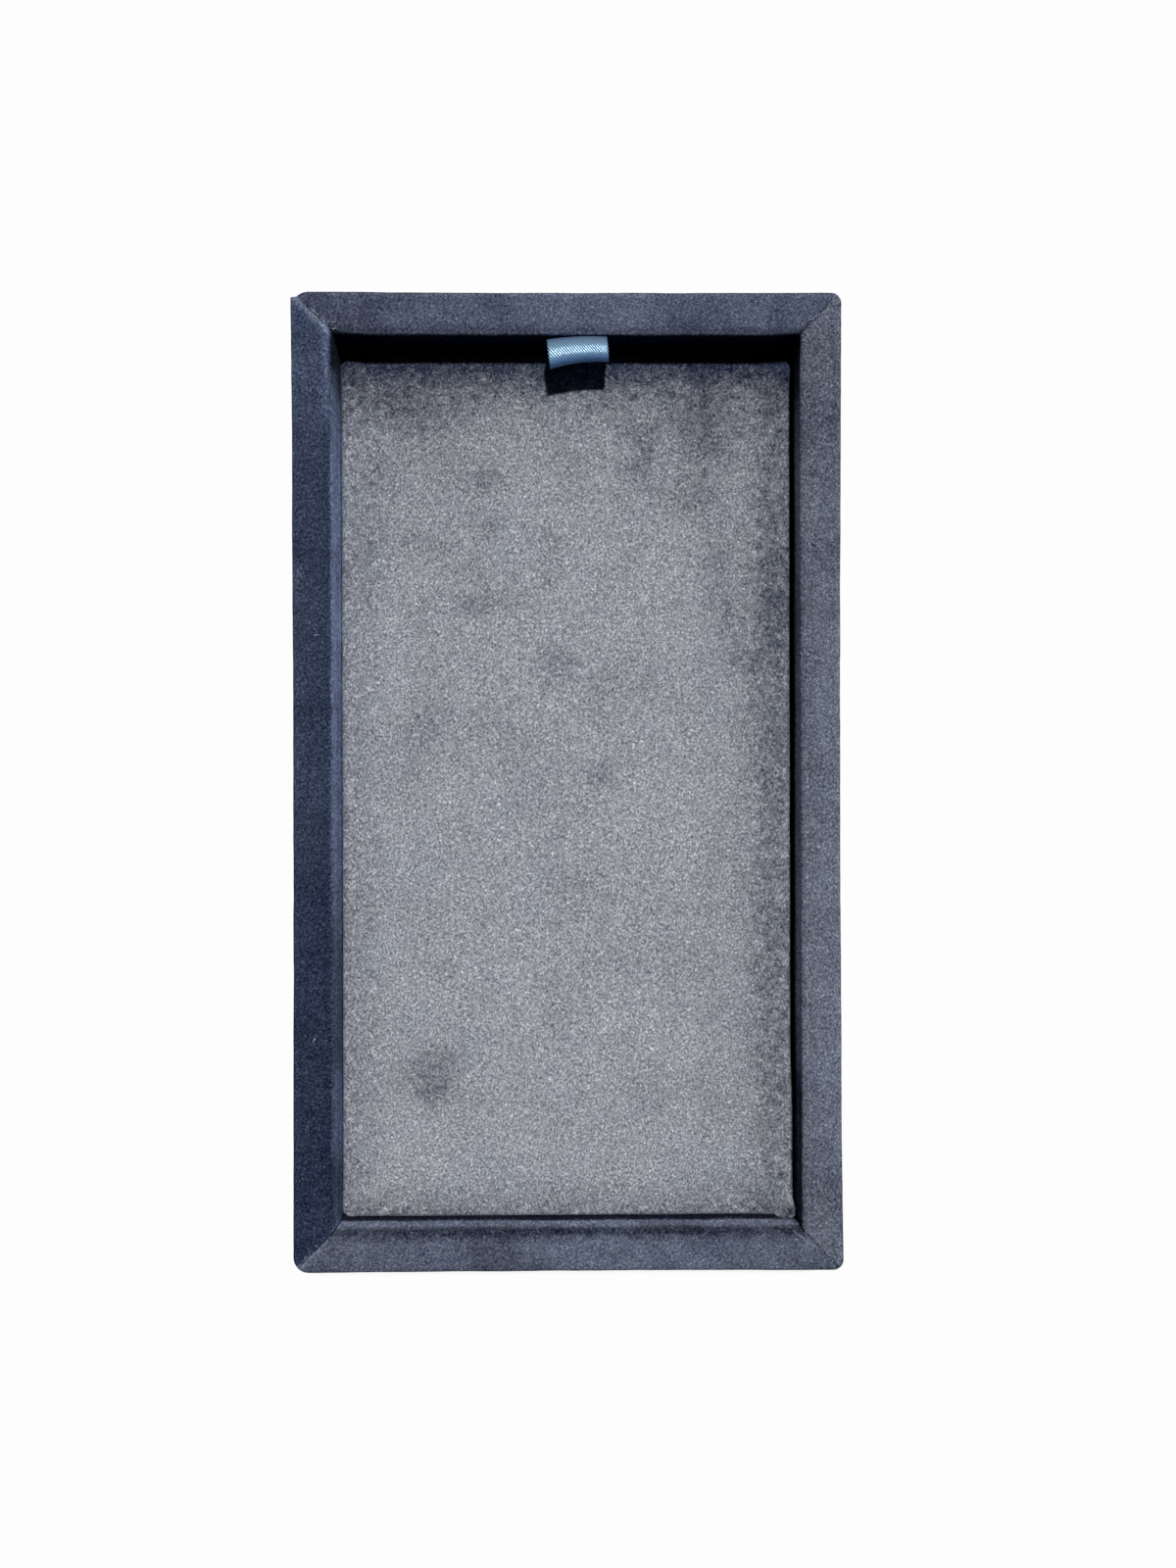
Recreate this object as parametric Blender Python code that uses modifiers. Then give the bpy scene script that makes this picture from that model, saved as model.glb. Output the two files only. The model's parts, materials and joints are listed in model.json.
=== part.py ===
"""A small velvet display tray with a lift-out padded insert and a ribbon pull loop.

Four mitred rails stand on a thin base board, and each is wrapped in its own velvet strip.
The insert is a stiff board with a foam pad under a velvet cover, and a satin ribbon loop at
its +Y end lifts it out. The origin is the middle of the underside, with +Y towards the ribbon.
Lengths are in metres.
"""
import math

import bmesh
import bpy
from mathutils import Vector

# Overall size
tray_width = 0.090
tray_length = 0.160
rim_height = 0.024

# Rails and base board
rail_thickness = 0.0046
rail_outer_edge_radius = 0.0003
rail_inner_edge_radius = 0.0001
rail_corner_radius = 0.0007
base_thickness = 0.0025

# Cloth, card and foam
velvet_thickness = 0.0008
rail_turn_in = 0.0065
bottom_cover_thickness = 0.0006
bottom_cover_margin = 0.0012
bottom_cover_corner_radius = 0.001
lining_thickness = 0.0006
lining_corner_radius = 0.0005

# Gaps that glued and sliding pieces keep
glue_gap = 0.0003
mitre_gap = 0.0003
insert_left_gap = 0.0004
insert_right_gap = 0.0008
insert_front_gap = 0.0004
ribbon_gap = 0.00045

# Insert
insert_board_thickness = 0.002
insert_corner_radius = 0.0006
foam_thickness = 0.0023
foam_crown = 0.0007
foam_edge_radius = 0.0011
insert_turn_in = 0.008
backing_thickness = 0.0006
backing_margin = 0.0008

# Pull ribbon
ribbon_width = 0.010
ribbon_thickness = 0.0003
ribbon_offset = 0.0018
ribbon_ply_gap = 0.0001
tail_length = 0.022
tail_bend_radius = 0.0008
loop_height = 0.0123
loop_half_depth = 0.0019
loop_lean = 0.0028
loop_root_lift = 0.00015
loop_twist = 0.0008

# Brads
brad_diameter = 0.001
brad_length = 0.012
brad_tip_length = 0.0012
brad_clearance = 0.0003
cut_overrun = 0.0005
corner_brad_height_shares = (0.25, 0.75)
base_brad_spread_share = 0.62
brad_tip_share = 0.4

# Roundness
smallest_plan_radius = 0.0002
corner_segments = 5
edge_segments = 4
fine_edge_segments = 2
crown_ring_shares = (0.1, 0.25, 0.45, 0.7)
crown_fall = 2.2
loop_steps = 28
loop_fullness = 3
tail_bend_steps = 4
brad_sides = 10
smooth_angle = math.radians(35)

# Worked out from the sizes above
half_width = tray_width / 2
half_length = tray_length / 2
cover_depth = velvet_thickness + glue_gap
wall = rail_thickness + 2 * cover_depth
tray_corner_radius = rail_corner_radius + cover_depth
turn_in_bottom = bottom_cover_thickness + glue_gap
base_bottom = turn_in_bottom + cover_depth
base_top = base_bottom + base_thickness
rail_bottom = base_top + glue_gap
rail_top = rim_height - cover_depth
rail_middle = cover_depth + rail_thickness / 2
lining_top = rail_bottom + lining_thickness

well_half_width = half_width - wall
well_half_length = half_length - wall
tail_thickness = 2 * ribbon_thickness
insert_ribbon_gap = tail_thickness + 2 * ribbon_gap
insert_half_width = well_half_width - (insert_left_gap + insert_right_gap) / 2
insert_half_length = well_half_length - (insert_front_gap + insert_ribbon_gap) / 2
insert_x = (insert_left_gap - insert_right_gap) / 2
insert_y = (insert_front_gap - insert_ribbon_gap) / 2
insert_z = lining_top + glue_gap

# Heights inside the insert, from the underside of its backing
tail_bottom = backing_thickness + glue_gap
board_bottom = tail_bottom + tail_thickness + glue_gap + cover_depth
board_top = board_bottom + insert_board_thickness
foam_bottom = board_top + glue_gap
foam_edge_top = foam_bottom + foam_thickness
pad_edge_top = foam_edge_top + cover_depth
board_half_width = insert_half_width - cover_depth
board_half_length = insert_half_length - cover_depth

# The ribbon's fold line, from the middle of the insert's underside
fold_x = ribbon_offset - insert_x
fold_y = insert_half_length + ribbon_gap + ribbon_thickness
fold_z = pad_edge_top
root_reach = ribbon_thickness + ribbon_ply_gap / 2


def clear_scene():
    for item in list(bpy.data.objects):
        bpy.data.objects.remove(item, do_unlink=True)


def new_collection(name):
    collection = bpy.data.collections.new(name)
    bpy.context.scene.collection.children.link(collection)
    return collection


def linear(channel):
    """A colour channel from 0 to 255, as the shader's linear value."""
    return (channel / 255) ** 2.2


def plain_material(name, colour, roughness, metallic=0):
    material = bpy.data.materials.new(name)
    material.use_nodes = True
    shader = material.node_tree.nodes["Principled BSDF"]
    red, green, blue = colour
    shader.inputs["Base Color"].default_value = (linear(red), linear(green), linear(blue), 1)
    shader.inputs["Roughness"].default_value = roughness
    shader.inputs["Metallic"].default_value = metallic
    return material


def new_piece(name, bm, material, location=(0, 0, 0), parent=None):
    """Turn a bmesh into a named, smooth-shaded piece in the tray's collection."""
    bmesh.ops.recalc_face_normals(bm, faces=bm.faces)
    mesh = bpy.data.meshes.new(name)
    bm.to_mesh(mesh)
    bm.free()
    mesh.materials.append(material)
    mesh.shade_smooth()
    mesh.set_sharp_from_angle(angle=smooth_angle)
    piece = bpy.data.objects.new(name, mesh)
    piece.location = location
    piece.parent = parent
    parts.objects.link(piece)
    return piece


def board_mesh(half_x, half_y, thickness, corner_radius):
    """A flat board standing on its own origin, with its four upright edges rounded."""
    bm = bmesh.new()
    bmesh.ops.create_cube(bm, size=1)
    bmesh.ops.scale(bm, vec=(2 * half_x, 2 * half_y, thickness), verts=bm.verts)
    bmesh.ops.translate(bm, vec=(0, 0, thickness / 2), verts=bm.verts)
    upright = [edge for edge in bm.edges if abs(edge.verts[0].co.z - edge.verts[1].co.z) > thickness / 2]
    bmesh.ops.bevel(
        bm, geom=upright, offset=corner_radius, segments=corner_segments, profile=0.5, affect="EDGES",
        material=-1,
    )
    return bm


def rounded_rectangle(half_x, half_y, radius):
    """Points round a rectangle with rounded corners, anticlockwise from its +X side."""
    points = []
    for quarter, (side_x, side_y) in enumerate(((1, 1), (-1, 1), (-1, -1), (1, -1))):
        for step in range(corner_segments + 1):
            angle = (quarter + step / corner_segments) * math.pi / 2
            x = side_x * (half_x - radius) + radius * math.cos(angle)
            y = side_y * (half_y - radius) + radius * math.sin(angle)
            points.append((x, y))
    return points


def add_ring(bm, half_x, half_y, corner_radius, inset, z):
    """One ring of points at a height, drawn in from the outline by the inset."""
    radius = max(corner_radius - inset, smallest_plan_radius)
    outline = rounded_rectangle(half_x - inset, half_y - inset, radius)
    return [bm.verts.new((x, y, z)) for x, y in outline]


def lofted_mesh(section, half_x, half_y, corner_radius, closed):
    """Carry a section of (inset, z) points round a rounded rectangle."""
    bm = bmesh.new()
    rings = [add_ring(bm, half_x, half_y, corner_radius, inset, z) for inset, z in section]
    pairs = list(zip(rings, rings[1:]))
    if closed:
        pairs.append((rings[-1], rings[0]))
    for lower, upper in pairs:
        for index in range(len(lower)):
            bm.faces.new((lower[index - 1], lower[index], upper[index], upper[index - 1]))
    return bm


def close_holes(bm):
    border = [edge for edge in bm.edges if edge.is_boundary]
    bmesh.ops.holes_fill(bm, edges=border, sides=0)


def arc(centre_inset, centre_z, radius, start, end, steps):
    """Points of (inset, z) on an arc, with its angles in quarter turns from the inset direction."""
    points = []
    for step in range(steps + 1):
        angle = (start + (end - start) * step / steps) * math.pi / 2
        points.append((centre_inset + radius * math.cos(angle), centre_z + radius * math.sin(angle)))
    return points


def trim(bm, point, normal):
    """Cut the mesh at a plane and drop what lies beyond it."""
    everything = bm.verts[:] + bm.edges[:] + bm.faces[:]
    bmesh.ops.bisect_plane(bm, geom=everything, plane_co=point, plane_no=normal, clear_outer=True)


def mitred_strip(section, side):
    """The part of a frame on one side of the tray, cut on the mitre at both its ends."""
    bm = lofted_mesh(section, half_width, half_length, tray_corner_radius, closed=True)
    trim(bm, Vector((0, 0, 0)), -side)
    turned = Vector((-side.y, side.x, 0))
    for along in (turned, -turned):
        corner = Vector(((side.x + along.x) * half_width, (side.y + along.y) * half_length, 0))
        normal = (along - side).normalized()
        trim(bm, corner - normal * mitre_gap / 2, normal)
    close_holes(bm)
    return bm


def rail_section():
    """The wooden rail: a strip with its two top edges eased."""
    outer = cover_depth
    inner = wall - cover_depth
    section = [(inner, rail_bottom)]
    section += arc(
        inner - rail_inner_edge_radius, rail_top - rail_inner_edge_radius, rail_inner_edge_radius,
        0, 1, fine_edge_segments,
    )
    section += arc(
        outer + rail_outer_edge_radius, rail_top - rail_outer_edge_radius, rail_outer_edge_radius,
        1, 2, fine_edge_segments,
    )
    section.append((outer, rail_bottom))
    return section


def rail_skin(grow):
    """The path of a surface that lies over a rail and under the board, this far from the wood."""
    inner = wall - cover_depth
    path = [(inner + grow, rail_bottom)]
    path += arc(
        inner - rail_inner_edge_radius, rail_top - rail_inner_edge_radius, rail_inner_edge_radius + grow,
        0, 1, edge_segments,
    )
    path += arc(
        cover_depth + rail_outer_edge_radius, rail_top - rail_outer_edge_radius,
        rail_outer_edge_radius + grow, 1, 2, edge_segments,
    )
    path += arc(cover_depth, base_bottom, grow, 2, 3, edge_segments)
    path.append((rail_turn_in, base_bottom - grow))
    return path


def velvet_section():
    """The velvet round a rail, from its inner foot over the rim and in under the board."""
    return rail_skin(cover_depth) + rail_skin(glue_gap)[::-1]


def crown_at(share):
    """How much of the crown has been reached at this share of the way in from the edge."""
    return foam_crown * (1 - (1 - share) ** crown_fall)


def pad_top(grow):
    """The path over the padded top, from its middle out and round its edge."""
    reach = board_half_width - foam_edge_radius
    path = []
    for share in reversed(crown_ring_shares):
        path.append((foam_edge_radius + share * reach, foam_edge_top + grow + crown_at(share)))
    path += arc(
        foam_edge_radius, foam_edge_top - foam_edge_radius, foam_edge_radius + grow, 1, 2, edge_segments
    )
    return path


def pad_cover_path(grow):
    """The path of the insert's cover, over the top, down the side and in under the board."""
    path = pad_top(grow)
    path += arc(0, board_bottom, grow, 2, 3, fine_edge_segments)
    path.append((insert_turn_in - cover_depth, board_bottom - grow))
    return path


def make_brad(name, material, head, direction):
    """A headless pin whose flat end lies at the head point and whose tip points along the direction."""
    shank = brad_length - brad_tip_length
    bm = bmesh.new()
    bmesh.ops.create_cone(
        bm, cap_ends=True, segments=brad_sides, radius1=brad_diameter / 2, radius2=brad_diameter / 2,
        depth=shank,
    )
    bmesh.ops.translate(bm, vec=(0, 0, shank / 2), verts=bm.verts)
    end_face = max(bm.faces, key=lambda face: face.calc_center_median().z)
    extruded = bmesh.ops.extrude_face_region(bm, geom=[end_face])
    tip = [item for item in extruded["geom"] if isinstance(item, bmesh.types.BMVert)]
    bmesh.ops.translate(bm, vec=(0, 0, brad_tip_length), verts=tip)
    bmesh.ops.scale(bm, vec=(brad_tip_share, brad_tip_share, 1), verts=tip)
    bmesh.ops.delete(bm, geom=[end_face], context="FACES")
    pin = new_piece(name, bm, material, head)
    pin.rotation_euler = direction.to_track_quat("Z", "Y").to_euler()


def brad_places():
    """Each brad's name, head point and direction."""
    places = []
    rail_height = rail_top - rail_bottom
    for end, end_name in ((1, "top"), (-1, "bottom")):
        for side, side_name in ((-1, "left"), (1, "right")):
            for number, share in enumerate(corner_brad_height_shares, start=1):
                head = Vector((
                    side * (half_width - cover_depth), end * (half_length - rail_middle),
                    rail_bottom + share * rail_height,
                ))
                name = f"corner_brad_{end_name}_{side_name}_{number}"
                places.append((name, head, Vector((-side, 0, 0))))
    feet = []
    for side in (-1, 1):
        for share in (-base_brad_spread_share, 0, base_brad_spread_share):
            feet.append((side * (half_width - rail_middle), share * half_length))
    for end in (-1, 1):
        feet.append((0, end * (half_length - rail_middle)))
    for number, (x, y) in enumerate(feet, start=1):
        places.append((f"base_brad_{number}", Vector((x, y, base_bottom)), Vector((0, 0, 1))))
    return places


def make_brad_holes(places):
    """One cutter with a bore for every brad."""
    bm = bmesh.new()
    length = brad_length + brad_clearance + cut_overrun
    for _, head, direction in places:
        start = head - direction * cut_overrun
        turn = direction.to_track_quat("Z", "Y").to_matrix().to_4x4()
        turn.translation = start + direction * length / 2
        radius = brad_diameter / 2 + brad_clearance
        bmesh.ops.create_cone(
            bm, cap_ends=True, segments=brad_sides, radius1=radius, radius2=radius, depth=length, matrix=turn
        )
    mesh = bpy.data.meshes.new("brad_holes")
    bm.to_mesh(mesh)
    bm.free()
    holes = bpy.data.objects.new("brad_holes", mesh)
    holes.hide_render = True
    holes.display_type = "WIRE"
    cutters.objects.link(holes)
    return holes


def drill(piece, holes):
    cut = piece.modifiers.new("brad_holes", "BOOLEAN")
    cut.operation = "DIFFERENCE"
    cut.solver = "EXACT"
    cut.object = holes


def make_tray(mdf, velvet, card, steel):
    """Base board, rails, their velvet, the brads, the lining and the sheet underneath."""
    places = brad_places()
    holes = make_brad_holes(places)
    for name, head, direction in places:
        make_brad(name, steel, head, direction)
    board = board_mesh(
        half_width - cover_depth, half_length - cover_depth, base_thickness, rail_corner_radius
    )
    drill(new_piece("base_board", board, mdf, (0, 0, base_bottom)), holes)
    sides = {
        "left": Vector((-1, 0, 0)),
        "right": Vector((1, 0, 0)),
        "top": Vector((0, 1, 0)),
        "bottom": Vector((0, -1, 0)),
    }
    for name, side in sides.items():
        drill(new_piece(f"rail_{name}_core", mitred_strip(rail_section(), side), mdf), holes)
        new_piece(f"rail_{name}_velvet", mitred_strip(velvet_section(), side), velvet)
    lining = board_mesh(
        well_half_width - glue_gap, well_half_length - glue_gap, lining_thickness, lining_corner_radius
    )
    new_piece("floor_lining", lining, card, (0, 0, rail_bottom))
    sheet = board_mesh(
        half_width - bottom_cover_margin, half_length - bottom_cover_margin, bottom_cover_thickness,
        bottom_cover_corner_radius,
    )
    new_piece("bottom_cover", sheet, velvet)


def make_insert(carrier, mdf, velvet, foam, card):
    """The padded insert, placed from the middle of its underside."""
    backing = board_mesh(
        insert_half_width - backing_margin, insert_half_length - backing_margin, backing_thickness,
        insert_corner_radius,
    )
    new_piece("insert_backing", backing, card, parent=carrier)
    board = board_mesh(board_half_width, board_half_length, insert_board_thickness, insert_corner_radius)
    new_piece("insert_board", board, mdf, (0, 0, board_bottom), carrier)
    padding = pad_top(0) + [(0, foam_bottom)]
    bm = lofted_mesh(padding, board_half_width, board_half_length, insert_corner_radius, closed=False)
    close_holes(bm)
    new_piece("insert_foam", bm, foam, parent=carrier)
    cover = pad_cover_path(cover_depth) + pad_cover_path(glue_gap)[::-1]
    bm = lofted_mesh(cover, board_half_width, board_half_length, insert_corner_radius, closed=False)
    close_holes(bm)
    new_piece("insert_velvet", bm, velvet, parent=carrier)


def ribbon_mesh(path, twist):
    """A flat strip along a path of (y, z) points, skewed by the twist as it rises."""
    bm = bmesh.new()
    half = ribbon_width / 2
    y, z = path[0]
    row = [bm.verts.new((side * half, y + side * twist(z), z)) for side in (-1, 1)]
    edge = bm.edges.new(row)
    for y, z in path[1:]:
        extruded = bmesh.ops.extrude_edge_only(bm, edges=[edge])
        edge = [item for item in extruded["geom"] if isinstance(item, bmesh.types.BMEdge)][0]
        for vert in edge.verts:
            side = math.copysign(1, vert.co.x)
            vert.co = (side * half, y + side * twist(z), z)
    return bm


def thicken(piece, thickness):
    shell = piece.modifiers.new("thickness", "SOLIDIFY")
    shell.thickness = thickness
    shell.offset = 0
    shell.use_even_offset = True


def loop_path():
    """The loop's centre line as (y, z) from its fold line: a drop shape that leans off the rail."""
    ply = (ribbon_thickness + ribbon_ply_gap) / 2
    widest = math.acos(-loop_fullness / (2 + loop_fullness))
    bulge = loop_half_depth / (math.sin(widest) * math.sin(widest / 2) ** loop_fullness)
    path = []
    for step in range(loop_steps + 1):
        turn = 2 * math.pi * step / loop_steps
        rise = (1 - math.cos(turn)) / 2
        swell = bulge * math.sin(turn) * math.sin(turn / 2) ** loop_fullness
        y = ply * math.cos(turn / 2) + swell - loop_lean * rise
        path.append((y, loop_root_lift + loop_height * rise))
    return path


def tail_path():
    """The tail's centre line as (y, z) from the fold line, with z measured from the backing."""
    level = tail_bottom + tail_thickness / 2
    path = [(-tail_length, level)]
    for step in range(tail_bend_steps + 1):
        angle = math.pi / 2 * step / tail_bend_steps
        y = tail_bend_radius * (math.sin(angle) - 1)
        path.append((y, level + tail_bend_radius * (1 - math.cos(angle))))
    path.append((0, fold_z - root_reach))
    return path


def make_ribbon(carrier, satin):
    """The tail that is glued under the insert, and the loop that folds at the insert's edge."""
    tail = ribbon_mesh(tail_path(), lambda z: 0)
    thicken(new_piece("ribbon_tail", tail, satin, (fold_x, fold_y, 0), carrier), tail_thickness)
    loop = ribbon_mesh(loop_path(), lambda z: loop_twist / 2 * z / loop_height)
    thicken(new_piece("ribbon_loop", loop, satin, (fold_x, fold_y, fold_z), carrier), ribbon_thickness)


clear_scene()
parts = new_collection("velvet_tray")
cutters = new_collection("cutters")

carrier = bpy.data.objects.new("insert_carrier", None)
carrier.location = (insert_x, insert_y, insert_z)
parts.objects.link(carrier)

mdf_board = plain_material("mdf_board", (150, 118, 84), 0.8)
rail_velvet = plain_material("rail_velvet", (74, 82, 101), 0.95)
pad_velvet = plain_material("pad_velvet", (140, 144, 152), 0.95)
grey_card = plain_material("grey_card", (92, 94, 100), 0.9)
pad_foam = plain_material("pad_foam", (214, 210, 200), 0.95)
blue_satin = plain_material("blue_satin", (110, 142, 174), 0.35)
brad_steel = plain_material("brad_steel", (176, 176, 172), 0.35, metallic=1)

make_tray(mdf_board, rail_velvet, grey_card, brad_steel)
make_insert(carrier, mdf_board, pad_velvet, pad_foam, grey_card)
make_ribbon(carrier, blue_satin)
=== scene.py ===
# %% [markdown]
# # A velvet tray with a lift-out pad
#
# The object is a small display tray. Four board rails are wrapped in dark blue-grey velvet and
# mitred at the corners, a padded insert in the same velvet lies sunk between them, and a satin
# ribbon loop at one end lifts the insert out.
#
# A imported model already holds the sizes, the hidden boards and pins, and the joints. It is loaded
# first, as a frame that nothing here may move. What follows dresses it: cloth with a real
# thickness, frayed seams, pile, weave and light. Lengths are in metres, +Z is up, and +Y runs
# towards the ribbon.

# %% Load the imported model
import json
import math
import random
from functools import partial

import bmesh
import bpy
from mathutils import Matrix, Vector, noise


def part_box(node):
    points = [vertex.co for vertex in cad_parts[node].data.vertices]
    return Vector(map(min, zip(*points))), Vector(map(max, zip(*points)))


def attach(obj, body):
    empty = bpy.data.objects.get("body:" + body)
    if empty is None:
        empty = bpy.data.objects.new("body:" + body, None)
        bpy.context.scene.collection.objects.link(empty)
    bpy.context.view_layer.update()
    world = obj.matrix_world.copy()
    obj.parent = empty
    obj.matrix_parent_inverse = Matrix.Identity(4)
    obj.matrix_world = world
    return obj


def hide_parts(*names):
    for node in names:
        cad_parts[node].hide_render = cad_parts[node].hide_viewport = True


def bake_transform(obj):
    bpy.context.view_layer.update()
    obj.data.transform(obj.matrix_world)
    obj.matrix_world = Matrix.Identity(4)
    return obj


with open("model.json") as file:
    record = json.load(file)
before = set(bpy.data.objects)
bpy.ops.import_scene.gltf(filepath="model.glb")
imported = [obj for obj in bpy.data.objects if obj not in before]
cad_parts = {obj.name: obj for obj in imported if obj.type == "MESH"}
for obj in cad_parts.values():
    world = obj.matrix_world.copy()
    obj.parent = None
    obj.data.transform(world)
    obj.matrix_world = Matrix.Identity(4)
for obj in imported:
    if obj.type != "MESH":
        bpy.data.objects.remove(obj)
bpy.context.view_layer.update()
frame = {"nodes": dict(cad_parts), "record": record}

# %% [markdown]
# ## Small tools for node trees
#
# The light and the materials below are built from the same few moves: add a node, feed its sockets,
# do a sum. These helpers take a number or another node's output for each input, so that a sum reads
# like one.

# %% Node helpers
def feed(tree, socket, value):
    """Link an output to a socket, or set the socket's own value."""
    if isinstance(value, bpy.types.NodeSocket):
        tree.links.new(value, socket)
    else:
        socket.default_value = value


def feed_all(tree, node, inputs):
    """Feed a node's inputs, each by its name or number."""
    for name, value in inputs.items():
        feed(tree, node.inputs[name], value)


def add(tree, kind, inputs, **settings):
    """Add a node, with settings such as its operation, and feed it."""
    made = tree.nodes.new(kind)
    for name, value in settings.items():
        setattr(made, name, value)
    feed_all(tree, made, inputs)
    return made


def calc(tree, operation, first, second=0.0, clamp=False):
    """One step of arithmetic."""
    inputs = {0: first, 1: second}
    return add(tree, "ShaderNodeMath", inputs, operation=operation, use_clamp=clamp).outputs[0]


def sums_in(tree, *operations):
    """Short forms of calc for one tree, one for each operation."""
    return [partial(calc, tree, operation) for operation in operations]


def vector_calc(tree, operation, first, second):
    """One step of arithmetic on each part of a vector or colour."""
    return add(tree, "ShaderNodeVectorMath", {0: first, 1: second}, operation=operation).outputs[0]


def mix(tree, factor, first, second, blend="MIX"):
    """Blend two colours."""
    colours = {0: factor, 6: first, 7: second}
    return add(tree, "ShaderNodeMix", colours, data_type="RGBA", blend_type=blend).outputs[2]


def noise_at(tree, vector, scale, detail=2.0, roughness=0.5, distortion=0.0):
    """Soft random values, with scale in waves a metre."""
    inputs = {
        "Vector": vector, "Scale": scale, "Detail": detail, "Roughness": roughness,
        "Distortion": distortion,
    }
    return add(tree, "ShaderNodeTexNoise", inputs).outputs["Fac"]


def around_zero(tree, value, amount):
    """A noise value moved to lie around zero, times an amount."""
    return calc(tree, "MULTIPLY", calc(tree, "SUBTRACT", value, 0.5), amount)


def bumps(tree, height, depth, strength, invert=False):
    """The surface's normal, tilted wherever the height changes."""
    inputs = {"Strength": strength, "Distance": depth, "Height": height}
    return add(tree, "ShaderNodeBump", inputs, invert=invert).outputs[0]


def seen_directly(tree):
    """1 for the rays that show a thing itself, straight or in metal or glass, and 0 for the rest."""
    path = tree.nodes.new("ShaderNodeLightPath").outputs
    direct = calc(tree, "MAXIMUM", path["Is Camera Ray"], path["Is Glossy Ray"])
    return calc(tree, "MAXIMUM", direct, path["Is Transmission Ray"])


print("Node helpers ready")

# %% Material helpers
def new_group(name, inputs, outputs):
    """An empty node group with its named sockets."""
    group = bpy.data.node_groups.new(name, "ShaderNodeTree")
    for label, kind, value in inputs:
        socket = group.interface.new_socket(label, in_out="INPUT", socket_type=kind)
        if value is not None:
            socket.default_value = value
    for label, kind in outputs:
        group.interface.new_socket(label, in_out="OUTPUT", socket_type=kind)
    return group, group.nodes.new("NodeGroupInput").outputs, group.nodes.new("NodeGroupOutput")


def use_group(tree, group, inputs):
    """Place a node group in a tree, feed it, and give its outputs."""
    return add(tree, "ShaderNodeGroup", inputs, node_tree=group).outputs


def new_material(name):
    """A material, its node tree, and the object coordinates in it."""
    material = bpy.data.materials.new(name)
    material.use_nodes = True
    tree = material.node_tree
    return material, tree, tree.nodes.new("ShaderNodeTexCoord").outputs["Object"]


def coat(material, looks):
    """Give a material's shader its looks, each one a node's output or a plain value."""
    tree = material.node_tree
    feed_all(tree, tree.nodes["Principled BSDF"], looks)


def paint(red, green, blue):
    """A colour read off the photograph, 0 to 255, as the shader's linear values."""
    return tuple(((c / 255 + 0.055) / 1.055) ** 2.4 for c in (red, green, blue)) + (1.0,)


print("Material helpers ready")

# %% [markdown]
# ## Camera
#
# The photograph looks straight down. Two things fix the camera: the ribbon is a stock 10 mm
# ribbon, which gives the scale at the rim, and the walls of the sunken well show more on one side
# than on the other, which gives the point that the camera stands over. A camera that is not
# turned at all looks down -Z with +Y at the top of the picture. The tray's left side shows a
# little longer than its right, so the real camera leaned by a degree: it gets that lean and a
# small roll, and a shift of the picture brings the tray back to its place in the frame.

# %% Camera
camera_place = Vector((0.0035, -0.0004, 0.331))
camera_lens = 43.3
camera_lean = (math.radians(-0.15), math.radians(-0.9), math.radians(-0.12))
camera_shift = (-0.0197, 0.0035)
camera_data = bpy.data.cameras.new("camera")
camera_data.lens = camera_lens
camera_data.clip_start = 0.01
camera_data.clip_end = 10
camera = bpy.data.objects.new("camera", camera_data)
camera.location = camera_place
camera.rotation_euler = camera_lean
camera_data.shift_x, camera_data.shift_y = camera_shift
bpy.context.scene.collection.objects.link(camera)
bpy.context.scene.camera = camera
print("Camera at", [round(value * 1000, 1) for value in camera_place], "mm")

# %% [markdown]
# ## Light
#
# The shadow of the ribbon is crisp and nearly black, so the key light is small and the fill is
# weak. A sun lamp is the plain way to have parallel light: its angle sets how soft the shadow's
# edge is. The direction comes from the photograph, where a ribbon 27 mm above the table throws its
# shadow a few millimetres down the pad. A white surface under sun and sky together should come out
# just white, so that each colour below renders about as it is written. The world is plain white to
# the eye and in reflections, and only a weak fill to everything else.

# %% Key light and sky
light_travel = Vector((-0.069, -0.265, -1.0))
sun_data = bpy.data.lights.new("key", "SUN")
sun_data.energy = 3.1
sun_data.angle = math.radians(3)
sun = bpy.data.objects.new("key", sun_data)
sun.rotation_euler = light_travel.to_track_quat("-Z", "Y").to_euler()
bpy.context.scene.collection.objects.link(sun)

sky_strength = 0.03
white = (1, 1, 1, 1)
world = bpy.data.worlds.new("studio")
bpy.context.scene.world = world
world.use_nodes = True
sky = world.node_tree
sky.nodes.clear()
fill = add(sky, "ShaderNodeBackground", {"Color": white, "Strength": sky_strength}).outputs[0]
backdrop = add(sky, "ShaderNodeBackground", {"Color": white}).outputs[0]
shown = add(sky, "ShaderNodeMixShader", {0: seen_directly(sky), 1: fill, 2: backdrop}).outputs[0]
add(sky, "ShaderNodeOutputWorld", {0: shown})
bpy.context.scene.view_settings.view_transform = "Standard"
key_height = math.degrees(math.asin(-light_travel.normalized().z))
print("The key light stands", round(key_height), "degrees high")

# %% [markdown]
# ## Velvet
#
# Velvet is a woven cloth with a dense pile standing on it. From above one sees bright fibre tips
# over dark gaps: a fine mat of short strokes, a fifth of a millimetre wide, that lean one way here
# and another way there. Where the pile lies over, the cloth turns darker and bluer: that is its
# nap. The same cloth is nearly black on one rail and grey on the pad.
#
# The pile could be hair, but half a million hairs would say no more at this distance than a good
# material does. One group does it in two steps. The nap mixes a shaded and a lit colour, in slow
# clouds. Then two noises, each drawn out along its own slant, make the strokes, and a third noise
# says which slant wins where. The strokes are added on the scale that the eye uses, which is
# roughly a colour to the power 1 / 2.2, so that a dark rail keeps a grain as clear as the pad's.

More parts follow.
